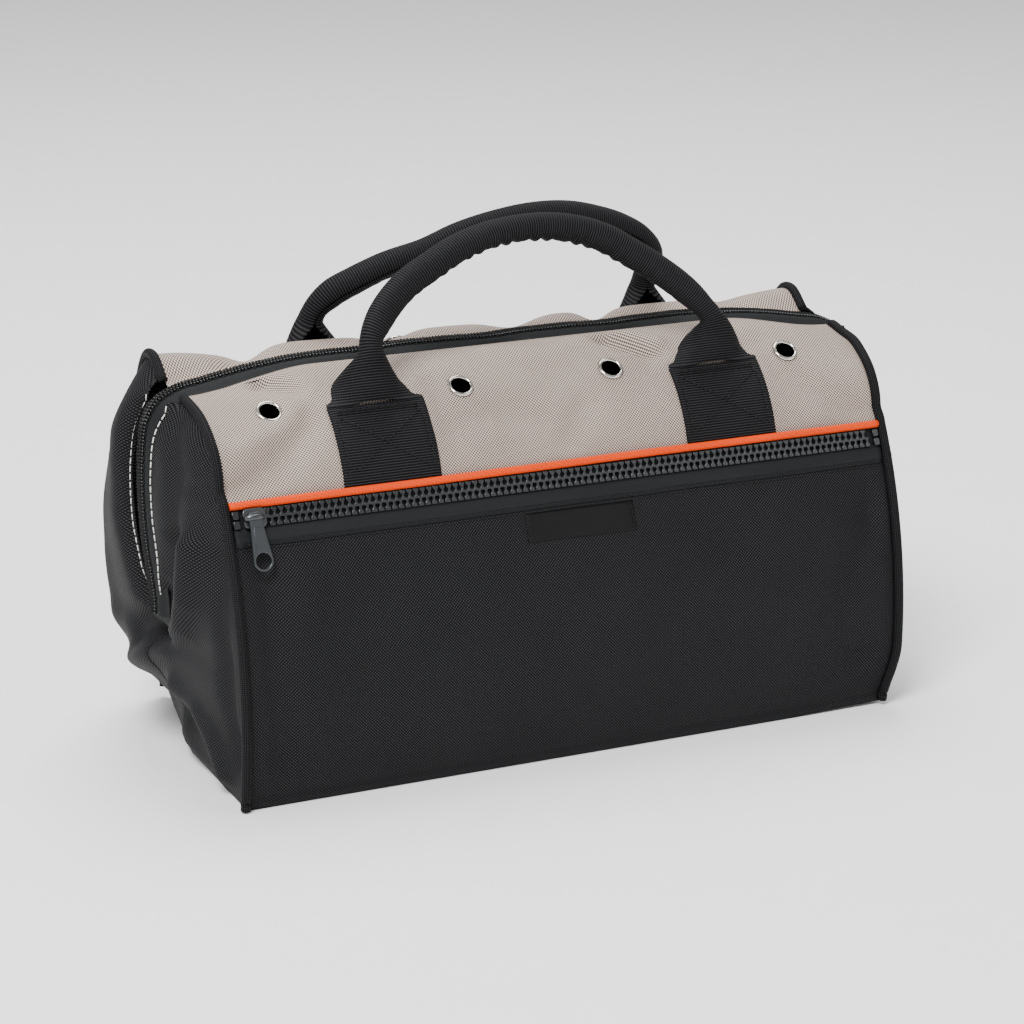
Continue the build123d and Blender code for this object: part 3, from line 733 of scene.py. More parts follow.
def finish_cloth(tree, shader, height, painted_shade, base, painted_highlight, relief, mottle=0.12):
    """Colours a cloth by its weave's height from 0 to 1, with painted shade where the weave is low and a painted
    highlight where it is high, mottles it and raises the weave.
    """
    # painted shade in the gaps between yarns and a painted highlight on the yarn tops, around the cloth's own
    # colour
    ramp = add_node(tree, "ShaderNodeValToRGB", inputs={0: height})
    ramp.color_ramp.elements[0].color = linear(painted_shade)
    ramp.color_ramp.elements[0].position = 0.12
    ramp.color_ramp.elements[1].color = linear(painted_highlight)
    ramp.color_ramp.elements[1].position = 0.95
    middle = ramp.color_ramp.elements.new(0.5)
    middle.color = linear(base)
    where = add_node(tree, "ShaderNodeTexCoord")
    patches = add_node(
        tree,
        "ShaderNodeTexNoise",
        inputs={"Vector": where.outputs["Object"], "Scale": 38.0, "Detail": 3.0},
    )
    shade = add_node(
        tree,
        "ShaderNodeMapRange",
        inputs={0: patches.outputs[0], 3: 1 - mottle, 4: 1 + mottle},
    )
    coloured = add_node(
        tree,
        "ShaderNodeMix",
        {"data_type": "RGBA", "blend_type": "MULTIPLY"},
        {0: 1.0, 6: ramp.outputs[0], 7: shade.outputs[0]},
    )
    bump = add_node(
        tree,
        "ShaderNodeBump",
        inputs={"Height": height, "Strength": 1.0, "Distance": relief},
    )
    tree.links.new(coloured.outputs[2], shader.inputs["Base Color"])
    tree.links.new(bump.outputs[0], shader.inputs["Normal"])


def ballistic_nylon(name, painted_shade, base, painted_highlight, roughness, spacing, turn=0.0, relief=0.3 * MM):
    """Coated ballistic nylon: thick flat yarns in a plain weave, so the eye sees rows of dots, painted lighter
    where the yarns cross as painted highlight and darker between them as painted shade.
    """
    surface = {"Roughness": roughness, "Specular_IOR_Level": YARN_GLOSS}
    material, tree, shader = blank_material(name, **surface)
    height = plain_weave(tree, spacing, turn)
    finish_cloth(tree, shader, height, painted_shade, base, painted_highlight, relief)
    return material


def ribbed_webbing(name, painted_shade, base, painted_highlight, spacing):
    """Woven nylon webbing: firm ribs straight across the strap, with fine yarns in each rib, painted lighter on
    the crests as painted highlight and darker in the grooves as painted shade.
    """
    surface = {"Roughness": 0.62, "Specular_IOR_Level": YARN_GLOSS}
    material, tree, shader = blank_material(name, **surface)
    fine, ribs = cloth_waves(tree, 0.45 * MM, spacing / 2)
    cut = add_node(tree, "ShaderNodeMath", {"operation": "MULTIPLY"}, {0: fine, 1: 0.12})
    level = add_node(
        tree, "ShaderNodeMath", {"operation": "MULTIPLY_ADD"}, {0: ribs, 1: 0.4, 2: 0.5}
    )
    height = add_node(
        tree, "ShaderNodeMath", {"operation": "ADD"}, {0: level.outputs[0], 1: cut.outputs[0]}
    )
    finish_cloth(tree, shader, height.outputs[0], painted_shade, base, painted_highlight, 0.35 * MM)
    return material


def fine_weave(name, painted_shade, base, painted_highlight, roughness, spacing):
    """Fine polyester tape or satin: a weave too small to see, which dulls the sheen and carries a faint painted
    highlight on its yarns and painted shade between them.
    """
    surface = {"Roughness": roughness, "Specular_IOR_Level": TAPE_GLOSS}
    material, tree, shader = blank_material(name, **surface)
    height = plain_weave(tree, spacing, math.radians(38))
    finish_cloth(tree, shader, height, painted_shade, base, painted_highlight, 0.12 * MM, 0.06)
    return material


def grainy_solid(name, code, roughness, metallic, grain, spread, relief, coat=0.0):
    """A moulded, plated or polished solid, whose fine grain breaks up its highlights."""
    material, tree, shader = blank_material(
        name, Metallic=metallic, Coat_Weight=coat, Coat_Roughness=0.15
    )
    where = add_node(tree, "ShaderNodeTexCoord")
    specks = add_node(
        tree,
        "ShaderNodeTexNoise",
        inputs={"Vector": where.outputs["Object"], "Scale": 1 / grain, "Detail": 4.0},
    )
    rough = add_node(
        tree,
        "ShaderNodeMapRange",
        inputs={0: specks.outputs[0], 3: roughness - spread, 4: roughness + spread},
    )
    tone = add_node(
        tree,
        "ShaderNodeMix",
        {"data_type": "RGBA"},
        {0: specks.outputs[0], 6: linear(code), 7: tuple(0.8 * c for c in linear(code)[:3]) + (1,)},
    )
    bump = add_node(
        tree,
        "ShaderNodeBump",
        inputs={"Height": specks.outputs[0], "Strength": 0.5, "Distance": relief},
    )
    tree.links.new(tone.outputs[2], shader.inputs["Base Color"])
    tree.links.new(rough.outputs[0], shader.inputs["Roughness"])
    tree.links.new(bump.outputs[0], shader.inputs["Normal"])
    return material


MATERIALS = {}


def make_materials():
    yarn, rib, tint = sizes().yarn, sizes().rib, colours()
    quarter = math.pi / 4
    MATERIALS.update(
        # taupe pack cloth: dots of yarn with painted shade in the gaps and a painted highlight on the yarn tops,
        # so it reads as coarse and dry
        taupe=ballistic_nylon("taupe_ballistic_nylon", "#1E1612", tint.taupe, "#E0D2C8", 0.5, yarn),
        # the same cloth in black: near black with a faint grid of gray dots, which are painted highlights on the
        # yarn crossings over painted shade in the gaps
        black=ballistic_nylon("black_ballistic_nylon", "#010101", tint.black, "#38383B", 0.6, yarn),
        # braid laid at a slant round a cord: a fine diagonal grid on a soft black edge, of painted highlight on
        # the yarns and painted shade between them
        piping=ballistic_nylon(
            "black_piping_braid", "#010101", "#060607", "#2A2A2D", 0.6, 0.9 * yarn, quarter
        ),
        # bias-cut orange tape on a cord: an even bright line, its weave drawn coarse at 0.5 mm with a painted
        # highlight on the yarns and painted shade between them
        accent=ballistic_nylon(
            "orange_piping_weave",
            "#8A1E00",
            tint.accent,
            "#FF5A08",
            0.5,
            0.5 * MM,
            quarter,
            0.12 * MM,
        ),
        # woven webbing: matt black with ribs straight across, drawn a little coarse, each with a painted highlight
        # on its crest and painted shade in its groove
        webbing=ribbed_webbing("black_nylon_webbing", "#010101", "#050506", "#2E2E31", rib),
        # woven zip tape: flat charcoal; its weave and those below are drawn coarser than real, each with a painted
        # highlight on its yarns and painted shade between them
        tape=fine_weave("charcoal_zip_tape", "#060707", tint.tape, "#1C1F21", 0.6, 0.4 * MM),
        # woven binding: a shade lighter than the tape, with a low gloss on its rolled lip
        binding=fine_weave("charcoal_binding", "#08090A", "#121415", "#26292B", 0.5, 0.4 * MM),
        # damask satin: smoother and glossier than the cloth round it
        label=fine_weave("black_label_satin", "#020202", "#060606", "#101011", 0.38, 0.35 * MM),
        # twisted polyester thread: white stands out on black cloth, black only as a low bump
        white_thread=fine_weave(
            "white_sewing_thread", "#8F8E8A", "#D9D8D3", "#FFFFFF", 0.6, 0.3 * MM
        ),
        black_thread=fine_weave(
            "black_sewing_thread", "#0A0A0A", "#1A1A1B", "#3A3A3C", 0.55, 0.3 * MM
        ),
        # moulded acetal: slick dark gray with a small highlight on each tooth
        teeth=grainy_solid("moulded_acetal_teeth", "#16191B", 0.26, 0.0, 0.4 * MM, 0.05, 0.01 * MM),
        coil=grainy_solid("black_acetal_teeth", "#060607", 0.3, 0.0, 0.4 * MM, 0.05, 0.01 * MM),
        # die-cast zinc, plated dark: a satin gray metal that is darker than steel
        gunmetal=grainy_solid(
            "gunmetal_plated_zinc", "#4E5153", 0.34, 0.9, 0.3 * MM, 0.05, 0.01 * MM
        ),
        # polished nickel plate: a warm bright ring that mirrors the room
        nickel=grainy_solid(
            "polished_nickel_plate", "#D5D0C8", 0.12, 1.0, 0.5 * MM, 0.04, 0.004 * MM
        ),
        # drawn steel wire, zinc plated: pale and softly streaked
        steel=grainy_solid(
            "zinc_plated_steel_wire", "#A9ABAE", 0.38, 1.0, 0.4 * MM, 0.1, 0.01 * MM
        ),
        # extruded polyethylene sheet: dull black with a pebbled grain
        board=grainy_solid(
            "black_polyethylene_board", "#1A1A1A", 0.55, 0.0, 0.8 * MM, 0.06, 0.04 * MM
        ),
    )


def flex(piece):
    """Bakes a cloth piece's placement into its mesh."""
    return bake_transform(piece)


def steps(low, high, spacing):
    """Even places from low to high, about a spacing apart."""
    return np.linspace(low, high, max(2, int(round((high - low) / spacing)) + 1))


def declare_cloth(nodes):
    """Hides the CAD nodes that a cloth stands for."""
    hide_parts(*nodes)


# --- pieces --------------------------------------------------------------------------------
def build_walls():
    thickness = sizes().cloth / MM
    binding_top = 137.2
    tops = {FRONT: binding_top - 4.0, REAR: 147.2}
    for side in SIDES.values():
        node = "pocket_panel" if side == FRONT else "rear_wall"

        def surface(u, v, side=side):
            return wall_at(side, u, v)

        wall = cloth_piece(
            node + "_cloth",
            surface,
            steps(-PANEL_HALF - 1, PANEL_HALF + 1, 2.2),
            steps(0.4, tops[side], 1.5),
            thickness,
            MATERIALS["black"],
            (0, side, 0),
        )
        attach(wall, BODY)
        declare_cloth([node])

    def inner(u, v):
        y = -(wall_depth(v) - 8.3 + 2.4 * v / SEAM_HEIGHT)
        return np.stack([u, y, v], -1)

    low, high = corners("front_inner_wall")
    lining = cloth_piece(
        "front_inner_wall_cloth",
        inner,
        steps(low[0], high[0], 5.0),
        steps(2.5, 145.0, 5.0),
        thickness,
        MATERIALS["black"],
        (0, FRONT, 0),
    )
    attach(lining, BODY)
    declare_cloth(["front_inner_wall"])

    def bottom(u, v):
        point = np.stack([u, v, 0.25 + 0 * u], -1)
        return settle(point)

    base = cloth_piece(
        "base_cloth",
        bottom,
        steps(-HALF_LENGTH + 1, HALF_LENGTH - 1, 4.0),
        steps(-84.6, 84.6, 4.0),
        -1.2,
        MATERIALS["black"],
        (0, 0, 1),
    )
    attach(base, BODY)
    declare_cloth(["base_panel"])

    low, high = corners("base_board")

    def board(u, v):
        point = np.stack([u, v, 4.6 + 0 * u], -1)
        return settle(point)

    stiffener = cloth_piece(
        "base_board_sheet",
        board,
        steps(low[0], high[0], 8.0),
        steps(low[1], high[1], 8.0),
        high[2] - low[2],
        MATERIALS["board"],
        (0, 0, 1),
    )
    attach(stiffener, BODY)
    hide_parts("base_board")


def build_bands():
    thickness = sizes().cloth / MM
    holes = [(x, EYELET_ALONG, 5.9) for x in EYELET_X]
    for side_name, side in SIDES.items():

        def surface(u, v, side=side):
            return band_at(side, u, v)

        band = cloth_piece(
            side_name + "_band_cloth",
            surface,
            steps(-PANEL_HALF - 1, PANEL_HALF + 1, 1.6),
            steps(0.0, BAND_LENGTH, 1.5),
            thickness,
            MATERIALS["taupe"],
            (0, side, 1),
            holes,
        )
        flex(band)
        nodes = [side_name + "_band", side_name + "_hem"]
        declare_cloth(nodes)


def build_ends():
    thickness = sizes().cloth / MM
    stitch_rows = []
    for end_name, end in ENDS.items():
        for side_name, side in SIDES.items():
            width = 92.0

            def surface(u, v, end=end, side=side, width=width):
                return end_at(end, side, np.clip(u / width, 0, 1), np.clip(v / END_RUN, 0, 1))

            half = cloth_piece(
                f"{end_name}_{side_name}_end_cloth",
                surface,
                steps(0.3, width, 1.6),
                steps(0.6, END_RUN - 1.5, 1.6),
                thickness,
                MATERIALS["black"],
                (end, 0, 0),
                weave=end_weave,
            )
            flex(half)
            nodes = [end_name + "_end_panel", f"{end_name}_{side_name}_gusset"]
            declare_cloth(nodes)
            v = np.linspace(0.405, 0.985, 150)
            u = np.full(v.shape, 0.975)
            row = end_at(end, side, u, v)
            ahead = np.gradient(row, axis=0)
            across = end_at(end, side, u - 0.03, v) - row
            normals = np.cross(ahead, across)
            normals /= np.linalg.norm(normals, axis=1, keepdims=True)
            normals *= np.sign((normals * np.array([end, 0, 0.4])).sum(1, keepdims=True))
            stitch_rows.append((f"{end_name}_{side_name}_end_stitches", row, normals, side_name))
    for name, row, normals, side_name in stitch_rows:
        sewn = stitches(name, row + 0.05 * normals, normals, MATERIALS["white_thread"], 3.0, 1.1)
        flex(sewn)


def build_piping():
    radius = sizes().piping_radius / MM
    accent = sizes().accent_radius / MM
    for side_name, side in SIDES.items():
        place = band_at(side, np.array([0.0]), np.array([0.0]), accent - 0.4)[0]
        xs = steps(-PANEL_HALF, PANEL_HALF, 3.0)
        path = np.stack([xs, 0 * xs + place[1], 0 * xs + place[2]], -1)
        path[:, 2] += 0.25 * ripple(xs, 0 * xs, 3 + side, 120.0)
        orange = tube_piece(side_name + "_accent_cord", path, accent, MATERIALS["accent"], 14)
        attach(orange, BODY)
        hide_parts(side_name + "_accent_piping")
        for end_name, end in ENDS.items():
            v = np.linspace(0.006, 1.0, 170)
            edge = end_edge(end, side, v)
            turn = v * 1.3
            out = [0 * v + end, 0.75 * side * np.cos(turn), 0.75 * np.sin(turn) - 0.1]
            out = np.stack(out, -1)
            out /= np.linalg.norm(out, axis=1, keepdims=True)
            path = edge + out * (radius * 0.55)
            cord = tube_piece(
                f"{end_name}_{side_name}_edge_cord",
                path,
                radius,
                MATERIALS["piping"],
                14,
                (end, 0, 0),
            )
            flex(cord)
            corner = f"{end_name}_{side_name}"
            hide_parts(corner + "_edge_piping", corner + "_band_piping")


# the top zip's line: (x, z) from the middle of the bag to the foot of an end
ZIP_LINE = [
    (0, 199.6),
    (70, 199.6),
    (118, 198.8),
    (145, 196.0),
    (166, 192.4),
    (181, 189.4),
    (190.5, 184.2),
    (195.8, 175.5),
    (198.0, 163.0),
    (199.0, 147.0),
    (198.8, 130.0),
    (197.6, 112.0),
    (195.8, 97.0),
    (194.6, 84.0),
    (194.6, 77.5),
]
ZIP_TAIL = [(195.8, 72.0), (196.4, 64.0)]


def zip_path(spacing=0.75):
    """Points (x, z) along the top zip from the left foot to the right, evenly spaced."""
    right = [(x, z) for x, z in ZIP_LINE + ZIP_TAIL]
    left = [(-x, z) for x, z in ZIP_LINE[:0:-1]]
    points = np.array(left + right, float)
    reach = np.concatenate([[0], np.cumsum(np.hypot(*np.diff(points, axis=0).T))])
    line = spline(reach, points)
    fine = line(np.linspace(0, reach[-1], 4000))
    run = np.concatenate([[0], np.cumsum(np.hypot(*np.diff(fine, axis=0).T))])
    even = np.arange(0, run[-1], spacing)
    return even, np.stack([np.interp(even, run, fine[:, k]) for k in (0, 1)], -1)


ZIP_REACH, ZIP_POINTS = zip_path()
ZIP_TAPE_WIDTH = 12.7


def zip_line(u):
    """Place (x, z) on the top zip's line at the distance u along it."""
    return [np.interp(u, ZIP_REACH, ZIP_POINTS[:, k]) for k in (0, 1)]


def zip_at(u, v, lift=0.0):
    """A point of the top zip: u along its line, v its depth from the middle, both in mm."""
    x, z = zip_line(u)
    ahead_x, ahead_z = [after - before for after, before in zip(zip_line(u + 1), zip_line(u - 1))]
    size = np.hypot(ahead_x, ahead_z)
    out_x, out_z = -ahead_z / size, ahead_x / size
    inward = 3.4 * smooth(5.5, 12.8, np.abs(v)) - lift
    calm = 1 - smooth(90, 140, np.abs(x))
    wave = calm * (1.5 * np.sin(x / 11.5) + 0.5 * np.sin(x / 5.3 + 1))
    wave = wave * (1 - smooth(6, 12, np.abs(v)))
    return np.stack([x - out_x * inward, v + wave, z - out_z * inward], -1)


def build_top_zip():
    end = ZIP_REACH[-1]
    for side_name, side in SIDES.items():

        def surface(u, v, side=side):
            return zip_at(u, side * v)

        tape = cloth_piece(
            side_name + "_top_zip_tape",
            surface,
            steps(0, end, 1.8),
            steps(0.5, 0.5 + ZIP_TAPE_WIDTH, 1.05),
            0.7,
            MATERIALS["tape"],
            (0, 0, 1),
        )
        flex(tape)
        declare_cloth([side_name + "_zip_tape"])
        shape, faces = pillow(1.05, 3.9, 1.5, 0.35)
        pitch = 1.7
        places = []
        start = 0.5 * pitch * (side > 0) + 0.6
        depth = np.array([side * 1.75])
        for u in np.arange(start, end - 1, pitch):
            here = np.array([u])
            at = zip_at(here, depth, 0.05)[0]
            ahead = zip_at(here + 0.5, depth)[0] - zip_at(here - 0.5, depth)[0]
            ahead /= np.linalg.norm(ahead)
            aside = np.array([0.0, 1.0, 0.0])
            up = np.cross(ahead, aside)
            up /= np.linalg.norm(up)
            up *= np.sign(up @ np.array([np.sign(at[0]) * 0.4, 0, 1.0])) or 1
            places.append((at, ahead, np.cross(up, ahead), up))
        teeth = many_piece(side_name + "_top_zip_teeth", shape, faces, places, MATERIALS["coil"])
        flex(teeth)
        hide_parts(side_name + "_zip_teeth")
        u = np.arange(2, end - 2, 1.0)
        row = zip_at(u, np.full(u.shape, side * 4.6), 0.05)
        ahead = np.gradient(row, axis=0)
        normals = np.cross(ahead, np.array([0.0, 1.0, 0.0]))
        normals /= np.linalg.norm(normals, axis=1, keepdims=True)
        normals *= np.where(normals[:, 2:] + 0.4 * np.sign(row[:, :1]) * normals[:, :1] < 0, -1, 1)
        thread = MATERIALS["binding"]
        sewn = stitches(side_name + "_top_zip_stitches", row, normals, thread, 2.6, 1.4, 0.6)
        flex(sewn)


# --- pocket zip ----------------------------------------------------------------------------
# the plane of the pocket's chain of teeth: its middle, the way up the wall and the way out
CHAIN_ORIGIN = np.array([0.0, -68.529, 140.526])
CHAIN_UP = np.array([0.0, 0.409937, 0.912114])
CHAIN_OUT = np.array([0.0, -0.912114, 0.409937])
CHAIN_PITCH = 3.5
CHAIN_ENDS = (-161.0, 174.0)
STOP_X = 176.2
TOOTH_THICKNESS = 1.9
TOOTH_BEVEL = 0.3
TOOTH_LIFT = 0.95  # half a tooth, so that it stands on the tape
BINDING_TOP = 137.0  # height of the lip of the pocket's mouth
WALL_SLOPE = 0.93  # drop in height for each millimetre down the wall
BINDING_RUN = 9.4  # as drawn, from the lip down
ACROSS = np.array([1.0, 0.0, 0.0])


def chain_at(x, up, out):
    """A point in the pocket zip's own plane, in millimetres."""
    return CHAIN_ORIGIN + np.multiply.outer(x, ACROSS) + np.multiply.outer(up, CHAIN_UP) + (
        np.multiply.outer(out, CHAIN_OUT)
    )


def build_pocket_zip():
    ends = PANEL_HALF - 0.5

    def backing(u, v):
        return chain_at(u, v, 0.1 + 0 * u)

    tape = cloth_piece(
        "pocket_zip_tape",
        backing,
        steps(-ends, ends, 4.0),
        steps(-5.5, 6.3, 1.5),
        0.6,
        MATERIALS["tape"],
        CHAIN_OUT,
    )
    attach(tape, BODY)
    declare_cloth(["pocket_tape_upper"])

    def fold(u, v):
        # the binding is folded over the panel's edge: a rounded lip, then flat on the wall
        lip = smooth(0, 2.2, v)
        z = BINDING_TOP - v * WALL_SLOPE
        wall = wall_at(FRONT, u, z)
        rise = 0.35 + 0.75 * lip - 0.55 * smooth(6.5, 8.6, v)
        point = wall + np.multiply.outer(rise, CHAIN_OUT)
        point[..., 1] += 0.3 * np.sin(u / 17.0) * lip * (1 - smooth(5, 8, v))
        return point

    binding = cloth_piece(
        "pocket_zip_binding",
        fold,
        steps(-ends, ends, 2.2),
        steps(0.0, BINDING_RUN, 0.6),
        0.8,
        MATERIALS["binding"],
        CHAIN_OUT,
    )
    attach(binding, BODY)
    nodes = ["pocket_tape_lower"]
    declare_cloth(nodes)
    x = steps(-ends + 2, ends - 2, 1.5)
    rows = (("pocket_binding_stitches", 8.2, 0.75), ("pocket_panel_stitches", 10.6, 0.05))
    for name, drop, lift in rows:
        row = wall_at(FRONT, x, BINDING_TOP - drop * WALL_SLOPE + 0 * x) + lift * CHAIN_OUT
        normals = np.tile(CHAIN_OUT, (len(x), 1))
        sewn = stitches(name, row, normals, MATERIALS["black_thread"], 2.4, 0.9, 0.6)
        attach(sewn, BODY)
    tooth = (
        [(-1.45, -4.4), (1.45, -4.4), (1.3, -3.0), (0.62, -2.3), (0.62, -1.2)]
        + arc((0.35, -0.15), 0.78, -35, 80, 5)
        + arc((-0.35, -0.15), 0.78, 100, 215, 5)
        + [(-0.62, -1.2), (-0.62, -2.3), (-1.3, -3.0)]
    )
    shape, faces = plate_shape([tooth], TOOTH_THICKNESS, TOOTH_BEVEL)
    first, last = CHAIN_ENDS
    for name, side, shift in (("lower", 1, 0.75), ("upper", -1, 0.25)):
        places = []
        for x in np.arange(first + shift * CHAIN_PITCH, last - CHAIN_PITCH / 2, CHAIN_PITCH):
            at = CHAIN_ORIGIN + x * ACROSS + TOOTH_LIFT * CHAIN_OUT
            places.append((at, side * ACROSS, side * CHAIN_UP, CHAIN_OUT))
        teeth = many_piece(f"pocket_teeth_{name}_row", shape, faces, places, MATERIALS["teeth"])
        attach(teeth, BODY)
        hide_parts("pocket_teeth_" + name)
    stop = [(-1.6, -4.2), (1.6, -4.2), (1.6, -0.9), (0.9, -0.4), (-0.9, -0.4), (-1.6, -0.9)]
    shape, faces = plate_shape([stop], TOOTH_THICKNESS, TOOTH_BEVEL)
    places = []
    for x in (-STOP_X, STOP_X):
        for side in (-1, 1):
            at = CHAIN_ORIGIN + x * ACROSS + TOOTH_LIFT * CHAIN_OUT
            places.append((at, side * ACROSS, side * CHAIN_UP, CHAIN_OUT))
    stops = many_piece("pocket_stops", shape, faces, places, MATERIALS["teeth"])
    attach(stops, BODY)
    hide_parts("pocket_zip_stops")


def build_slider(name, node, body, origin, along, up, out):
    """A zip slider: a front plate and a back plate with rounded edges, a post between them and an arched bridge.
    """
    half, wide = 6.4, 4.7
    front = (
        arc((half - 2.4, wide - 2.4), 2.4, 0, 90, 6)
        + arc((-half + 3.4, wide - 2.2), 2.2, 90, 170, 6)
        + arc((-half + 3.4, -wide + 2.2), 2.2, 190, 270, 6)
        + arc((half - 2.4, -wide + 2.4), 2.4, -90, 0, 6)
    )
    plate, plate_faces = plate_shape([front], 1.2, 0.45)
    back, back_faces = plate_shape([front], 1.0, 0.3)
    points, faces = [], []

    def place(shape, shape_faces, lift, turn_up=1.0):
        base = sum(len(p) for p in points)
        local = np.asarray(shape, float)
        points.append(
            origin
            + local[:, :1] * along
            + turn_up * local[:, 1:2] * up
            + (local[:, 2:] + lift) * out
        )
        faces.extend([tuple(base + i for i in face) for face in shape_faces])

    place(plate, plate_faces, 2.9)
    place(back, back_faces, -1.0)
    post, post_faces = pillow(3.0, 0.8, 4.2, 0.1)
    place(post, post_faces, -1.2)
    # the bridge arches along the chain, high enough for the pull's eye
    turns = np.linspace(0, math.pi, 18)
    spine = np.stack([-4.6 * np.cos(turns), 0 * turns, 3.2 + 3.1 * np.sin(turns) ** 0.7], -1)
    _, ahead = along_path(spine)
    ring = np.linspace(0, 2 * math.pi, 12, endpoint=False)
    across = np.array([0.0, 1.0, 0.0])
    over = np.cross(across, ahead)
    arch = (
        spine[:, None]
        + 1.35 * np.cos(ring)[None, :, None] * across
        + 0.75 * np.sin(ring)[None, :, None] * over[:, None]
    )
    arch_faces = []
    for i in range(len(spine) - 1):
        for j in range(12):
            k = (j + 1) % 12
            arch_faces.append((i * 12 + j, i * 12 + k, (i + 1) * 12 + k, (i + 1) * 12 + j))
    arch_faces += [tuple(range(12))[::-1], tuple(range((len(spine) - 1) * 12, len(spine) * 12))]
    place(arch.reshape(-1, 3), arch_faces, 0.0)
    slider = add_piece(name, np.concatenate(points), faces, MATERIALS["gunmetal"])
    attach(slider, body)
    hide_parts(node)


def build_pull(name, node, joint_name, along, down, out, turn):
    """A zip pull: a tapering plate with a round eye at its tip and a slot for the bridge."""
    axis = np.array(joint(joint_name)["pos_m"]) / MM
    tip = -21.0
    outline = (
        arc((0, tip), 5.0, 184, 356, 22)
        + [(3.3, -4.5)]
        + arc((1.4, 0.6), 1.9, 0, 90, 6)
        + arc((-1.4, 0.6), 1.9, 90, 180, 6)
        + [(-3.3, -4.5)]
    )
    eye = arc((0, tip), 3.9, 0, 345, 24)
    slot = arc((1.2, 0), 0.9, -90, 90, 6) + arc((-1.2, 0), 0.9, 90, 270, 6)
    plate, plate_faces = plate_shape([outline, eye, slot], 1.5, 0.4)
    inset = arc((0, tip + 6.6), 2.6, 200, 340, 8) + [(2.0, -5.0), (-2.0, -5.0)]
    raised, raised_faces = plate_shape([inset], 0.5, 0.2)
    tilt = math.radians(7.0)
    down_tilted = down * math.cos(tilt) - out * math.sin(tilt)
    out_tilted = out * math.cos(tilt) + down * math.sin(tilt)
    swing = math.radians(turn)
    side = along * math.cos(swing) + down_tilted * math.sin(swing)
    hang = down_tilted * math.cos(swing) - along * math.sin(swing)
    points, faces = [], []
    for shape, shape_faces, lift in ((plate, plate_faces, 0.0), (raised, raised_faces, 0.75)):
        base = sum(len(p) for p in points)
        local = np.asarray(shape, float)
        flat = axis + local[:, :1] * side - local[:, 1:2] * hang
        points.append(flat + (local[:, 2:] + lift) * out_tilted)
        faces += [tuple(base + i for i in face) for face in shape_faces]
    pull = add_piece(name, np.concatenate(points), faces, MATERIALS["gunmetal"])
    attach(pull, node)
    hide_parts(node)


def build_sliders():
    """Both sliders and their pulls; the pocket's pull hangs a little to one side."""
    slide_x = joint("pocket_pull_swing")["pos_m"][0] / MM
    origin = CHAIN_ORIGIN + slide_x * ACROSS
    build_slider(
        "pocket_slider_metal", "pocket_slider", "pocket_slider", origin, ACROSS, CHAIN_UP, CHAIN_OUT
    )
    build_pull(
        "pocket_pull_metal", "pocket_pull", "pocket_pull_swing", ACROSS, -CHAIN_UP, CHAIN_OUT, -4.0
    )
    top = np.array(joint("top_pull_swing")["pos_m"]) / MM
    out = np.array([1.0, 0.0, 0.0])
    across = np.array([0.0, 1.0, 0.0])
    high = np.array([0.0, 0.0, 1.0])
    origin = np.array([196.6, 0.0, top[2]])
    build_slider("top_slider_metal", "top_slider", BODY, origin, high, -across, out)
    build_pull("top_pull_metal", "top_pull", "top_pull_swing", across, -high, out, 0.0)


def build_label():
    middle_x = (LABEL_LOW[0] + LABEL_HIGH[0]) / 2
    half_x = (LABEL_HIGH[0] - LABEL_LOW[0]) / 2
    low, high = LABEL_LOW[2], LABEL_HIGH[2]

    def surface(u, v):
        edge = np.minimum(half_x - np.abs(u - middle_x), np.minimum(v - low, high - v))
        return wall_at(FRONT, u, v, 0.15 + 0.5 * smooth(-0.2, 1.2, edge))

    label = cloth_piece(
        "woven_label_cloth",
        surface,
        steps(middle_x - half_x, middle_x + half_x, 0.8),
        steps(low, high, 0.5),
        0.5,
        MATERIALS["label"],
        (0, FRONT, 0),
    )
    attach(label, BODY)
    declare_cloth(["woven_label"])
    rows = []
    for side in (-1, 1):
        z = steps(low + 0.8, high - 0.8, 1.0)
        x = middle_x + side * (half_x - 1.5) + 0 * z
        rows.append((f"woven_label_stitches_{'right' if side > 0 else 'left'}", x, z))
    for name, x, z in rows:
        row = wall_at(FRONT, x, z, 0.68)
        normals = np.tile(np.array([0.0, -1.0, 0.1]), (len(z), 1))
        sewn = stitches(name, row, normals, MATERIALS["black_thread"], 1.8, 0.6, 0.45)
        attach(sewn, BODY)


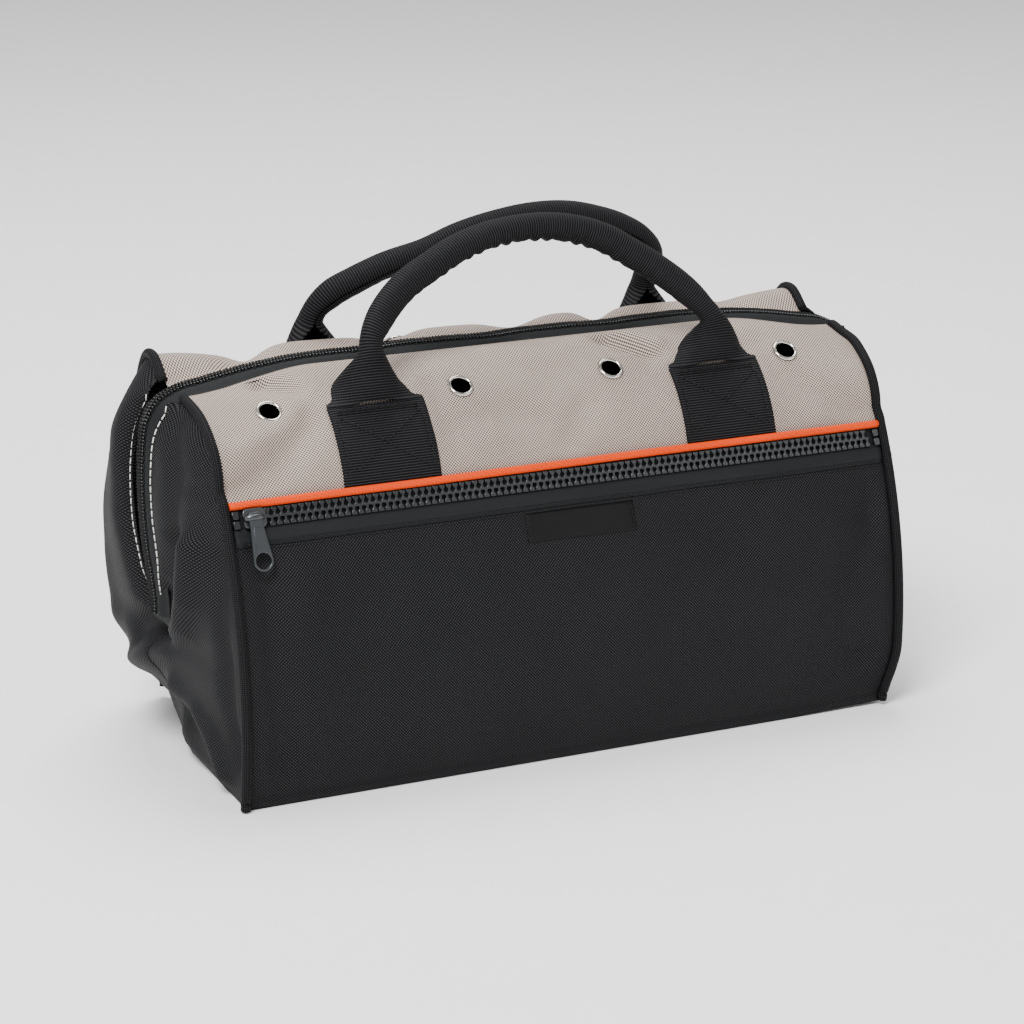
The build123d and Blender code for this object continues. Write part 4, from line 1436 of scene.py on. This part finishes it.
# --- webbing -------------------------------------------------------------------------------
def build_anchors():
    half = WEBBING / 2
    foot = 1.4
    for end_name, end in ENDS.items():
        for side_name, side in SIDES.items():
            middle = end * ANCHOR_X

            def lifted(u, v, lift=1.5, side=side, middle=middle):
                edge = np.minimum(half - np.abs(u - middle), FOLD_ALONG + 1.0 - v)
                return band_at(side, u, v, lift - 0.35 * (1 - smooth(0, 1.4, edge)))

            patch = cloth_piece(
                f"{end_name}_{side_name}_anchor_webbing",
                lifted,
                steps(middle - half, middle + half, 1.2),
                steps(foot, FOLD_ALONG + 1.0, 1.2),
                1.3,
                MATERIALS["webbing"],
                (0, side, 1),
            )
            flex(patch)
            node = f"{end_name}_{side_name}_anchor"
            declare_cloth([node])
            inner = half - 3.2
            low, high = foot + 5.0, FOLD_ALONG - 3.5
            lines = [
                [(-inner, high), (inner, high)],
                [(-inner, low), (-inner, high - 1)],
                [(inner, low), (inner, high - 1)],
                [(-inner, high - 1), (inner, low)],
                [(inner, high - 1), (-inner, low)],
                [(-inner, high + 1.6), (inner, high + 1.6)],
            ]
            rows = []
            for i, ((x0, v0), (x1, v1)) in enumerate(lines):
                count = int(math.hypot(x1 - x0, v1 - v0)) + 2
                u = middle + np.linspace(x0, x1, count)
                v = np.linspace(v0, v1, count)
                row = lifted(u, v, 1.52)
                angle = SEAM_ANGLE + v / BAND_RADIUS
                normals = np.stack([0 * v, side * np.cos(angle), np.sin(angle)], -1)
                sewn = stitches(
                    f"{end_name}_{side_name}_anchor_stitches_{i + 1}",
                    row,
                    normals,
                    MATERIALS["black_thread"],
                    2.4,
                    0.9,
                    0.5,
                )
                rows.append(sewn)
            joined = join_pieces(rows, f"{end_name}_{side_name}_anchor_stitches")
            flex(joined)


def join_pieces(parts, name):
    """Several meshes of one material as one piece."""
    points, faces, base = [], [], 0
    for part in parts:
        mesh = part.data
        points += [tuple(v.co / MM) for v in mesh.vertices]
        faces += [tuple(base + i for i in p.vertices) for p in mesh.polygons]
        base += len(mesh.vertices)
    material = parts[0].data.materials[0]
    for part in parts:
        bpy.data.objects.remove(part)
    return add_piece(name, points, faces, material)


# the middle of each handle's grip, from its left fold to its right one
GRIP_POINTS = {
    FRONT: [
        (-93.4, -46.0, 184.8),
        (-93.6, -43.6, 193.0),
        (-93.4, -40.0, 203.0),
        (-92.2, -36.4, 213.0),
        (-87.0, -33.7, 220.8),
        (-80.5, -31.1, 228.0),
        (-71.9, -28.5, 235.1),
        (-54.3, -25.1, 244.3),
        (-40.3, -22.8, 250.6),
        (-25.4, -21.2, 255.0),
        (-8.6, -20.4, 257.4),
        (8.0, -20.3, 257.5),
        (25.9, -21.4, 254.6),
        (41.2, -23.4, 249.1),
        (54.5, -26.2, 241.2),
        (67.8, -29.5, 232.4),
        (79.9, -32.8, 223.1),
        (89.6, -36.5, 213.1),
        (96.0, -39.9, 203.7),
        (97.0, -42.9, 195.0),
        (95.0, -44.8, 189.6),
        (93.4, -46.0, 184.8),
    ],
    REAR: [
        (-93.4, 46.0, 184.8),
        (-94.5, 43.0, 193.0),
        (-94.5, 39.5, 203.0),
        (-91.5, 36.2, 212.5),
        (-84.5, 33.4, 220.8),
        (-72.0, 30.8, 227.6),
        (-56.3, 28.9, 234.1),
        (-35.1, 26.8, 239.8),
        (-18.3, 24.3, 246.5),
        (4.4, 22.5, 251.6),
        (21.6, 21.7, 253.6),
        (44.7, 22.1, 252.6),
        (58.6, 23.3, 249.4),
        (76.0, 25.5, 243.2),
        (88.0, 28.1, 236.0),
        (95.5, 31.3, 227.3),
        (97.0, 35.5, 216.0),
        (96.0, 39.0, 206.0),
        (94.5, 42.6, 195.0),
        (93.4, 46.0, 184.8),
    ],
}
GRIP_RADIUS = 7.0
ROLLED_WIDTH = 2 * math.pi * GRIP_RADIUS  # of the strap where it closes on itself
FULL_TURN = 2 * math.pi * 0.985
TURNS = np.linspace(0.05, FULL_TURN, 200)
TURN_WIDTH = WEBBING + (ROLLED_WIDTH - WEBBING) * smooth(math.pi, FULL_TURN, TURNS)
TURN_REACH = TURN_WIDTH / TURNS * np.sin(np.minimum(TURNS, math.pi) / 2)
FLAP_HEIGHT = 24.0


def grip_frame(side):
    """The strap as a function of (distance across it, distance along it): flat, then rolled."""
    points = np.array(GRIP_POINTS[side], float)
    reach = np.concatenate([[0], np.cumsum(np.linalg.norm(np.diff(points, axis=0), axis=1))])
    line = spline(reach, points)
    lean = np.array([0.0, side * math.cos(math.radians(20)), math.sin(math.radians(20))])
    draws = np.random.default_rng(40 + side)
    phases = draws.uniform(0, 2 * math.pi, 4)

    def surface(u, v):
        at = line(v)
        ahead = line(v + 0.8) - line(v - 0.8)
        ahead /= np.maximum(np.linalg.norm(ahead, axis=-1, keepdims=True), 1e-9)
        out = lean - ahead * (ahead @ lean)[..., None]
        out /= np.linalg.norm(out, axis=-1, keepdims=True)
        across = np.cross(ahead, out)
        end_gap = np.minimum(v, reach[-1] - v)
        left = v < reach[-1] / 2
        level = np.where(left, -side, side)[..., None] * np.array([1.0, 0.0, 0.0])
        free = smooth(6, 40, end_gap)[..., None]
        across = across * free + level * (1 - free)
        across /= np.linalg.norm(across, axis=-1, keepdims=True)
        share = np.clip(end_gap / FLAP_HEIGHT, 0, 1)
        half_width = WEBBING / 2 + (GRIP_RADIUS - WEBBING / 2) * share
        turn = np.interp(-half_width, -TURN_REACH, TURNS)
        width = np.interp(turn, TURNS, TURN_WIDTH)
        rolled = smooth(0, FULL_TURN, turn)
        pinch = 1 - 0.16 * np.exp(-(((end_gap - 29) / 8.0) ** 2))
        radius = width / turn * pinch
        phi = u / WEBBING * turn
        inner = np.clip(-side * np.sin(phi), 0, 1)
        wave = 0.5 * np.sin(2 * math.pi * v / 8.2 + phases[0]) + 0.35 * np.sin(
            2 * math.pi * v / 5.9 + phases[1] + 0.6 * np.sin(v / 19 + phases[2])
        )
        tight = np.exp(-(((v - 0.52 * reach[-1]) / 62.0) ** 2))
        wrinkle = 1.05 * inner * wave * tight * rolled
        crease_deep = 0.35 * np.sin(v / 23 + 2 * phi + phases[3]) * rolled
        size = radius - wrinkle + crease_deep
        forward = (size * np.cos(phi) - radius + GRIP_RADIUS * rolled)[..., None] * out
        dish = -1.6 * np.cos(math.pi * u / WEBBING) ** 2 * np.exp(-(((end_gap - 13) / 7.0) ** 2))
        aside = (size * np.sin(phi))[..., None] * across
        return at + forward + aside + dish[..., None] * out

    return surface, reach[-1]


def build_handles():
    for side_name, side in SIDES.items():
        surface, length = grip_frame(side)
        strap = cloth_piece(
            side_name + "_handle_webbing",
            surface,
            steps(-WEBBING / 2, WEBBING / 2, 1.1),
            steps(0.2, length - 0.2, 1.1),
            1.2,
            MATERIALS["webbing"],
            (0, side, 0.4),
        )
        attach(strap, side_name + "_handle")
        declare_cloth(
            [side_name + "_handle_strap", side_name + "_handle_core"],
        )


def build_eyelets():
    outline = [
        (4.8, -2.6),
        (4.8, 0.15),
        (4.95, 0.75),
        (5.35, 1.15),
        (5.85, 1.2),
        (6.35, 0.85),
        (6.65, 0.3),
        (6.6, 0.02),
        (5.4, -0.02),
        (5.4, -2.6),
    ]
    washer = [(5.6, -2.0), (5.6, -2.4), (6.0, -2.6), (7.8, -2.6), (8.0, -2.4), (8.0, -2.0)]
    for side_name, side in SIDES.items():
        centres = []
        for mount in EYELETS:
            if mount["name"].startswith(side_name):
                axis = np.array(mount["axis"], float)
                axis = axis if axis[2] > 0 else -axis
                x = np.array([mount["pos_m"][0] / MM])
                centre = band_at(side, x, np.array([EYELET_ALONG]))[0]
                centres.append((centre, axis))
        rings = turned_piece(side_name + "_eyelet_rings", outline, centres, MATERIALS["nickel"], 48)
        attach(rings, side_name + "_mouth")
        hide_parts(side_name + "_eyelets")
        washers = turned_piece(side_name + "_washer_rings", washer, centres, MATERIALS["nickel"], 48)
        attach(washers, side_name + "_mouth")
        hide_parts(side_name + "_eyelet_washers")


def finish_frame_parts():
    """Gives the CAD parts that stay their own finishes."""
    finishes = {}
    for side_name in SIDES:
        finishes[side_name + "_hoop"] = "steel"
    for end_name in ENDS:
        finishes[end_name + "_pivot"] = "steel"
    for node, finish in finishes.items():
        piece = frame["nodes"][node]
        piece.data.materials.clear()
        piece.data.materials.append(MATERIALS[finish])


# --- stage ---------------------------------------------------------------------------------
CAMERA_AT = (-0.6803, -1.4344, 0.5746)
CAMERA_TURN = 25.409  # degrees from +Y towards +X
CAMERA_DOWN = 16.5
CAMERA_LENS = 112.66
FLOOR_HALF = 14.0  # metres
WORLD_STRENGTH = 0.62
LIGHTS = [
    # name, position, size, power, aim
    ("key", (-1.3, -1.2, 2.3), 1.0, 105.0, (0, 0, 0.1)),
    ("fill", (1.7, -1.9, 0.9), 1.6, 13.0, (0, 0, 0.1)),
    ("top", (0.3, 0.9, 2.2), 1.2, 52.0, (0, 0, 0.1)),
    ("side", (-2.2, 0.4, 0.9), 1.2, 14.0, (-0.1, 0, 0.1)),
]


def build_stage():
    material, tree, shader = blank_material("matte_paper_floor", Roughness=0.85)
    grain = add_node(tree, "ShaderNodeTexNoise", inputs={"Scale": 900.0, "Detail": 2.0})
    tone = add_node(
        tree,
        "ShaderNodeMix",
        {"data_type": "RGBA"},
        {0: grain.outputs[0], 6: linear("#FAFAFA"), 7: linear("#F6F6F6")},
    )
    tree.links.new(tone.outputs[2], shader.inputs["Base Color"])
    side = FLOOR_HALF / MM
    points = [(-side, -side, 0), (side, -side, 0), (side, side, 0), (-side, side, 0)]
    floor = add_piece("floor", points, [(0, 1, 2, 3)], material)
    for name, place, size, power, aim in LIGHTS:
        lamp = bpy.data.lights.new(name, "AREA")
        lamp.size = size
        lamp.energy = power
        holder = bpy.data.objects.new(name, lamp)
        holder.location = place
        direction = Vector(aim) - Vector(place)
        holder.rotation_euler = direction.to_track_quat("-Z", "Y").to_euler()
        bpy.context.scene.collection.objects.link(holder)
    world = bpy.data.worlds.new("studio")
    world.use_nodes = True
    background = world.node_tree.nodes["Background"]
    background.inputs["Color"].default_value = (1.0, 1.0, 1.0, 1.0)
    background.inputs["Strength"].default_value = WORLD_STRENGTH
    bpy.context.scene.world = world
    camera = bpy.data.objects.new("camera", bpy.data.cameras.new("camera"))
    camera.data.lens = CAMERA_LENS
    camera.data.sensor_width = 36.0
    camera.location = CAMERA_AT
    turns = (math.radians(90 - CAMERA_DOWN), 0.0, -math.radians(CAMERA_TURN))
    camera.rotation_euler = turns
    bpy.context.scene.collection.objects.link(camera)
    bpy.context.scene.camera = camera


# --- operators -----------------------------------------------------------------------------
class FIELDBAG_OT_walls(bpy.types.Operator):
    """Build the lower walls, the pocket's inner wall and the bottom"""

    bl_idname = "field_bag.walls"
    bl_label = "Walls and Bottom"

    def execute(self, context):
        build_walls()
        return {"FINISHED"}


class FIELDBAG_OT_bands(bpy.types.Operator):
    """Build the two halves of the upper band, with holes for the eyelets"""

    bl_idname = "field_bag.bands"
    bl_label = "Upper Bands"

    def execute(self, context):
        build_bands()
        return {"FINISHED"}


class FIELDBAG_OT_ends(bpy.types.Operator):
    """Build the folded ends and the stitching beside the zip"""

    bl_idname = "field_bag.ends"
    bl_label = "Ends"

    def execute(self, context):
        build_ends()
        return {"FINISHED"}


class FIELDBAG_OT_piping(bpy.types.Operator):
    """Build the orange and black piping"""

    bl_idname = "field_bag.piping"
    bl_label = "Piping"

    def execute(self, context):
        build_piping()
        return {"FINISHED"}


class FIELDBAG_OT_top_zip(bpy.types.Operator):
    """Build the tapes, teeth and stitches of the top zip"""

    bl_idname = "field_bag.top_zip"
    bl_label = "Top Zip"

    def execute(self, context):
        build_top_zip()
        return {"FINISHED"}


class FIELDBAG_OT_pocket_zip(bpy.types.Operator):
    """Build the pocket's zip, with its tape, binding, teeth and stops"""

    bl_idname = "field_bag.pocket_zip"
    bl_label = "Pocket Zip"

    def execute(self, context):
        build_pocket_zip()
        return {"FINISHED"}


class FIELDBAG_OT_sliders(bpy.types.Operator):
    """Build both zip sliders and their pulls"""

    bl_idname = "field_bag.sliders"
    bl_label = "Sliders and Pulls"

    def execute(self, context):
        build_sliders()
        return {"FINISHED"}


class FIELDBAG_OT_label(bpy.types.Operator):
    """Build the plain woven label"""

    bl_idname = "field_bag.label"
    bl_label = "Label"

    def execute(self, context):
        build_label()
        return {"FINISHED"}


class FIELDBAG_OT_anchors(bpy.types.Operator):
    """Build the webbing patches that hold the handles, with their stitching"""

    bl_idname = "field_bag.anchors"
    bl_label = "Handle Anchors"

    def execute(self, context):
        build_anchors()
        return {"FINISHED"}


class FIELDBAG_OT_handles(bpy.types.Operator):
    """Build the two rolled webbing handles"""

    bl_idname = "field_bag.handles"
    bl_label = "Handles"

    def execute(self, context):
        build_handles()
        return {"FINISHED"}


class FIELDBAG_OT_eyelets(bpy.types.Operator):
    """Build the nickel eyelets"""

    bl_idname = "field_bag.eyelets"
    bl_label = "Eyelets"

    def execute(self, context):
        build_eyelets()
        return {"FINISHED"}


class FIELDBAG_OT_frame_parts(bpy.types.Operator):
    """Give the hoops and pivots their finishes"""

    bl_idname = "field_bag.frame_parts"
    bl_label = "Frame Finishes"

    def execute(self, context):
        finish_frame_parts()
        return {"FINISHED"}


class FIELDBAG_OT_stage(bpy.types.Operator):
    """Build the floor, the lights and the camera"""

    bl_idname = "field_bag.stage"
    bl_label = "Stage"

    def execute(self, context):
        build_stage()
        return {"FINISHED"}


OPERATORS = (
    FIELDBAG_OT_walls,
    FIELDBAG_OT_bands,
    FIELDBAG_OT_ends,
    FIELDBAG_OT_piping,
    FIELDBAG_OT_top_zip,
    FIELDBAG_OT_pocket_zip,
    FIELDBAG_OT_sliders,
    FIELDBAG_OT_label,
    FIELDBAG_OT_anchors,
    FIELDBAG_OT_handles,
    FIELDBAG_OT_eyelets,
    FIELDBAG_OT_frame_parts,
    FIELDBAG_OT_stage,
)


class FIELDBAG_PT_panel(bpy.types.Panel):
    """Lists the bag's sizes, colours and pieces"""

    bl_idname = "FIELDBAG_PT_panel"
    bl_label = "Field Bag"
    bl_space_type = "VIEW_3D"
    bl_region_type = "UI"
    bl_category = "Field Bag"

    def draw(self, context):
        column = self.layout.column(align=True)
        for group in (sizes(), colours()):
            for name in group.bl_rna.properties.keys():
                if name not in ("rna_type", "name"):
                    column.prop(group, name)
        for operator in OPERATORS:
            column.operator(operator.bl_idname)


CLASSES = (FieldBagSizes, FieldBagColours, *OPERATORS, FIELDBAG_PT_panel)


def register():
    for cls in CLASSES:
        bpy.utils.register_class(cls)
    bpy.types.Scene.field_bag_sizes = PointerProperty(type=FieldBagSizes)
    bpy.types.Scene.field_bag_colours = PointerProperty(type=FieldBagColours)


def unregister():
    del bpy.types.Scene.field_bag_colours
    del bpy.types.Scene.field_bag_sizes
    for cls in reversed(CLASSES):
        bpy.utils.unregister_class(cls)


def main():
    register()
    make_materials()
    for operator in OPERATORS:
        group, name = operator.bl_idname.split(".")
        getattr(getattr(bpy.ops, group), name)()


if __name__ == "__main__":
    main()
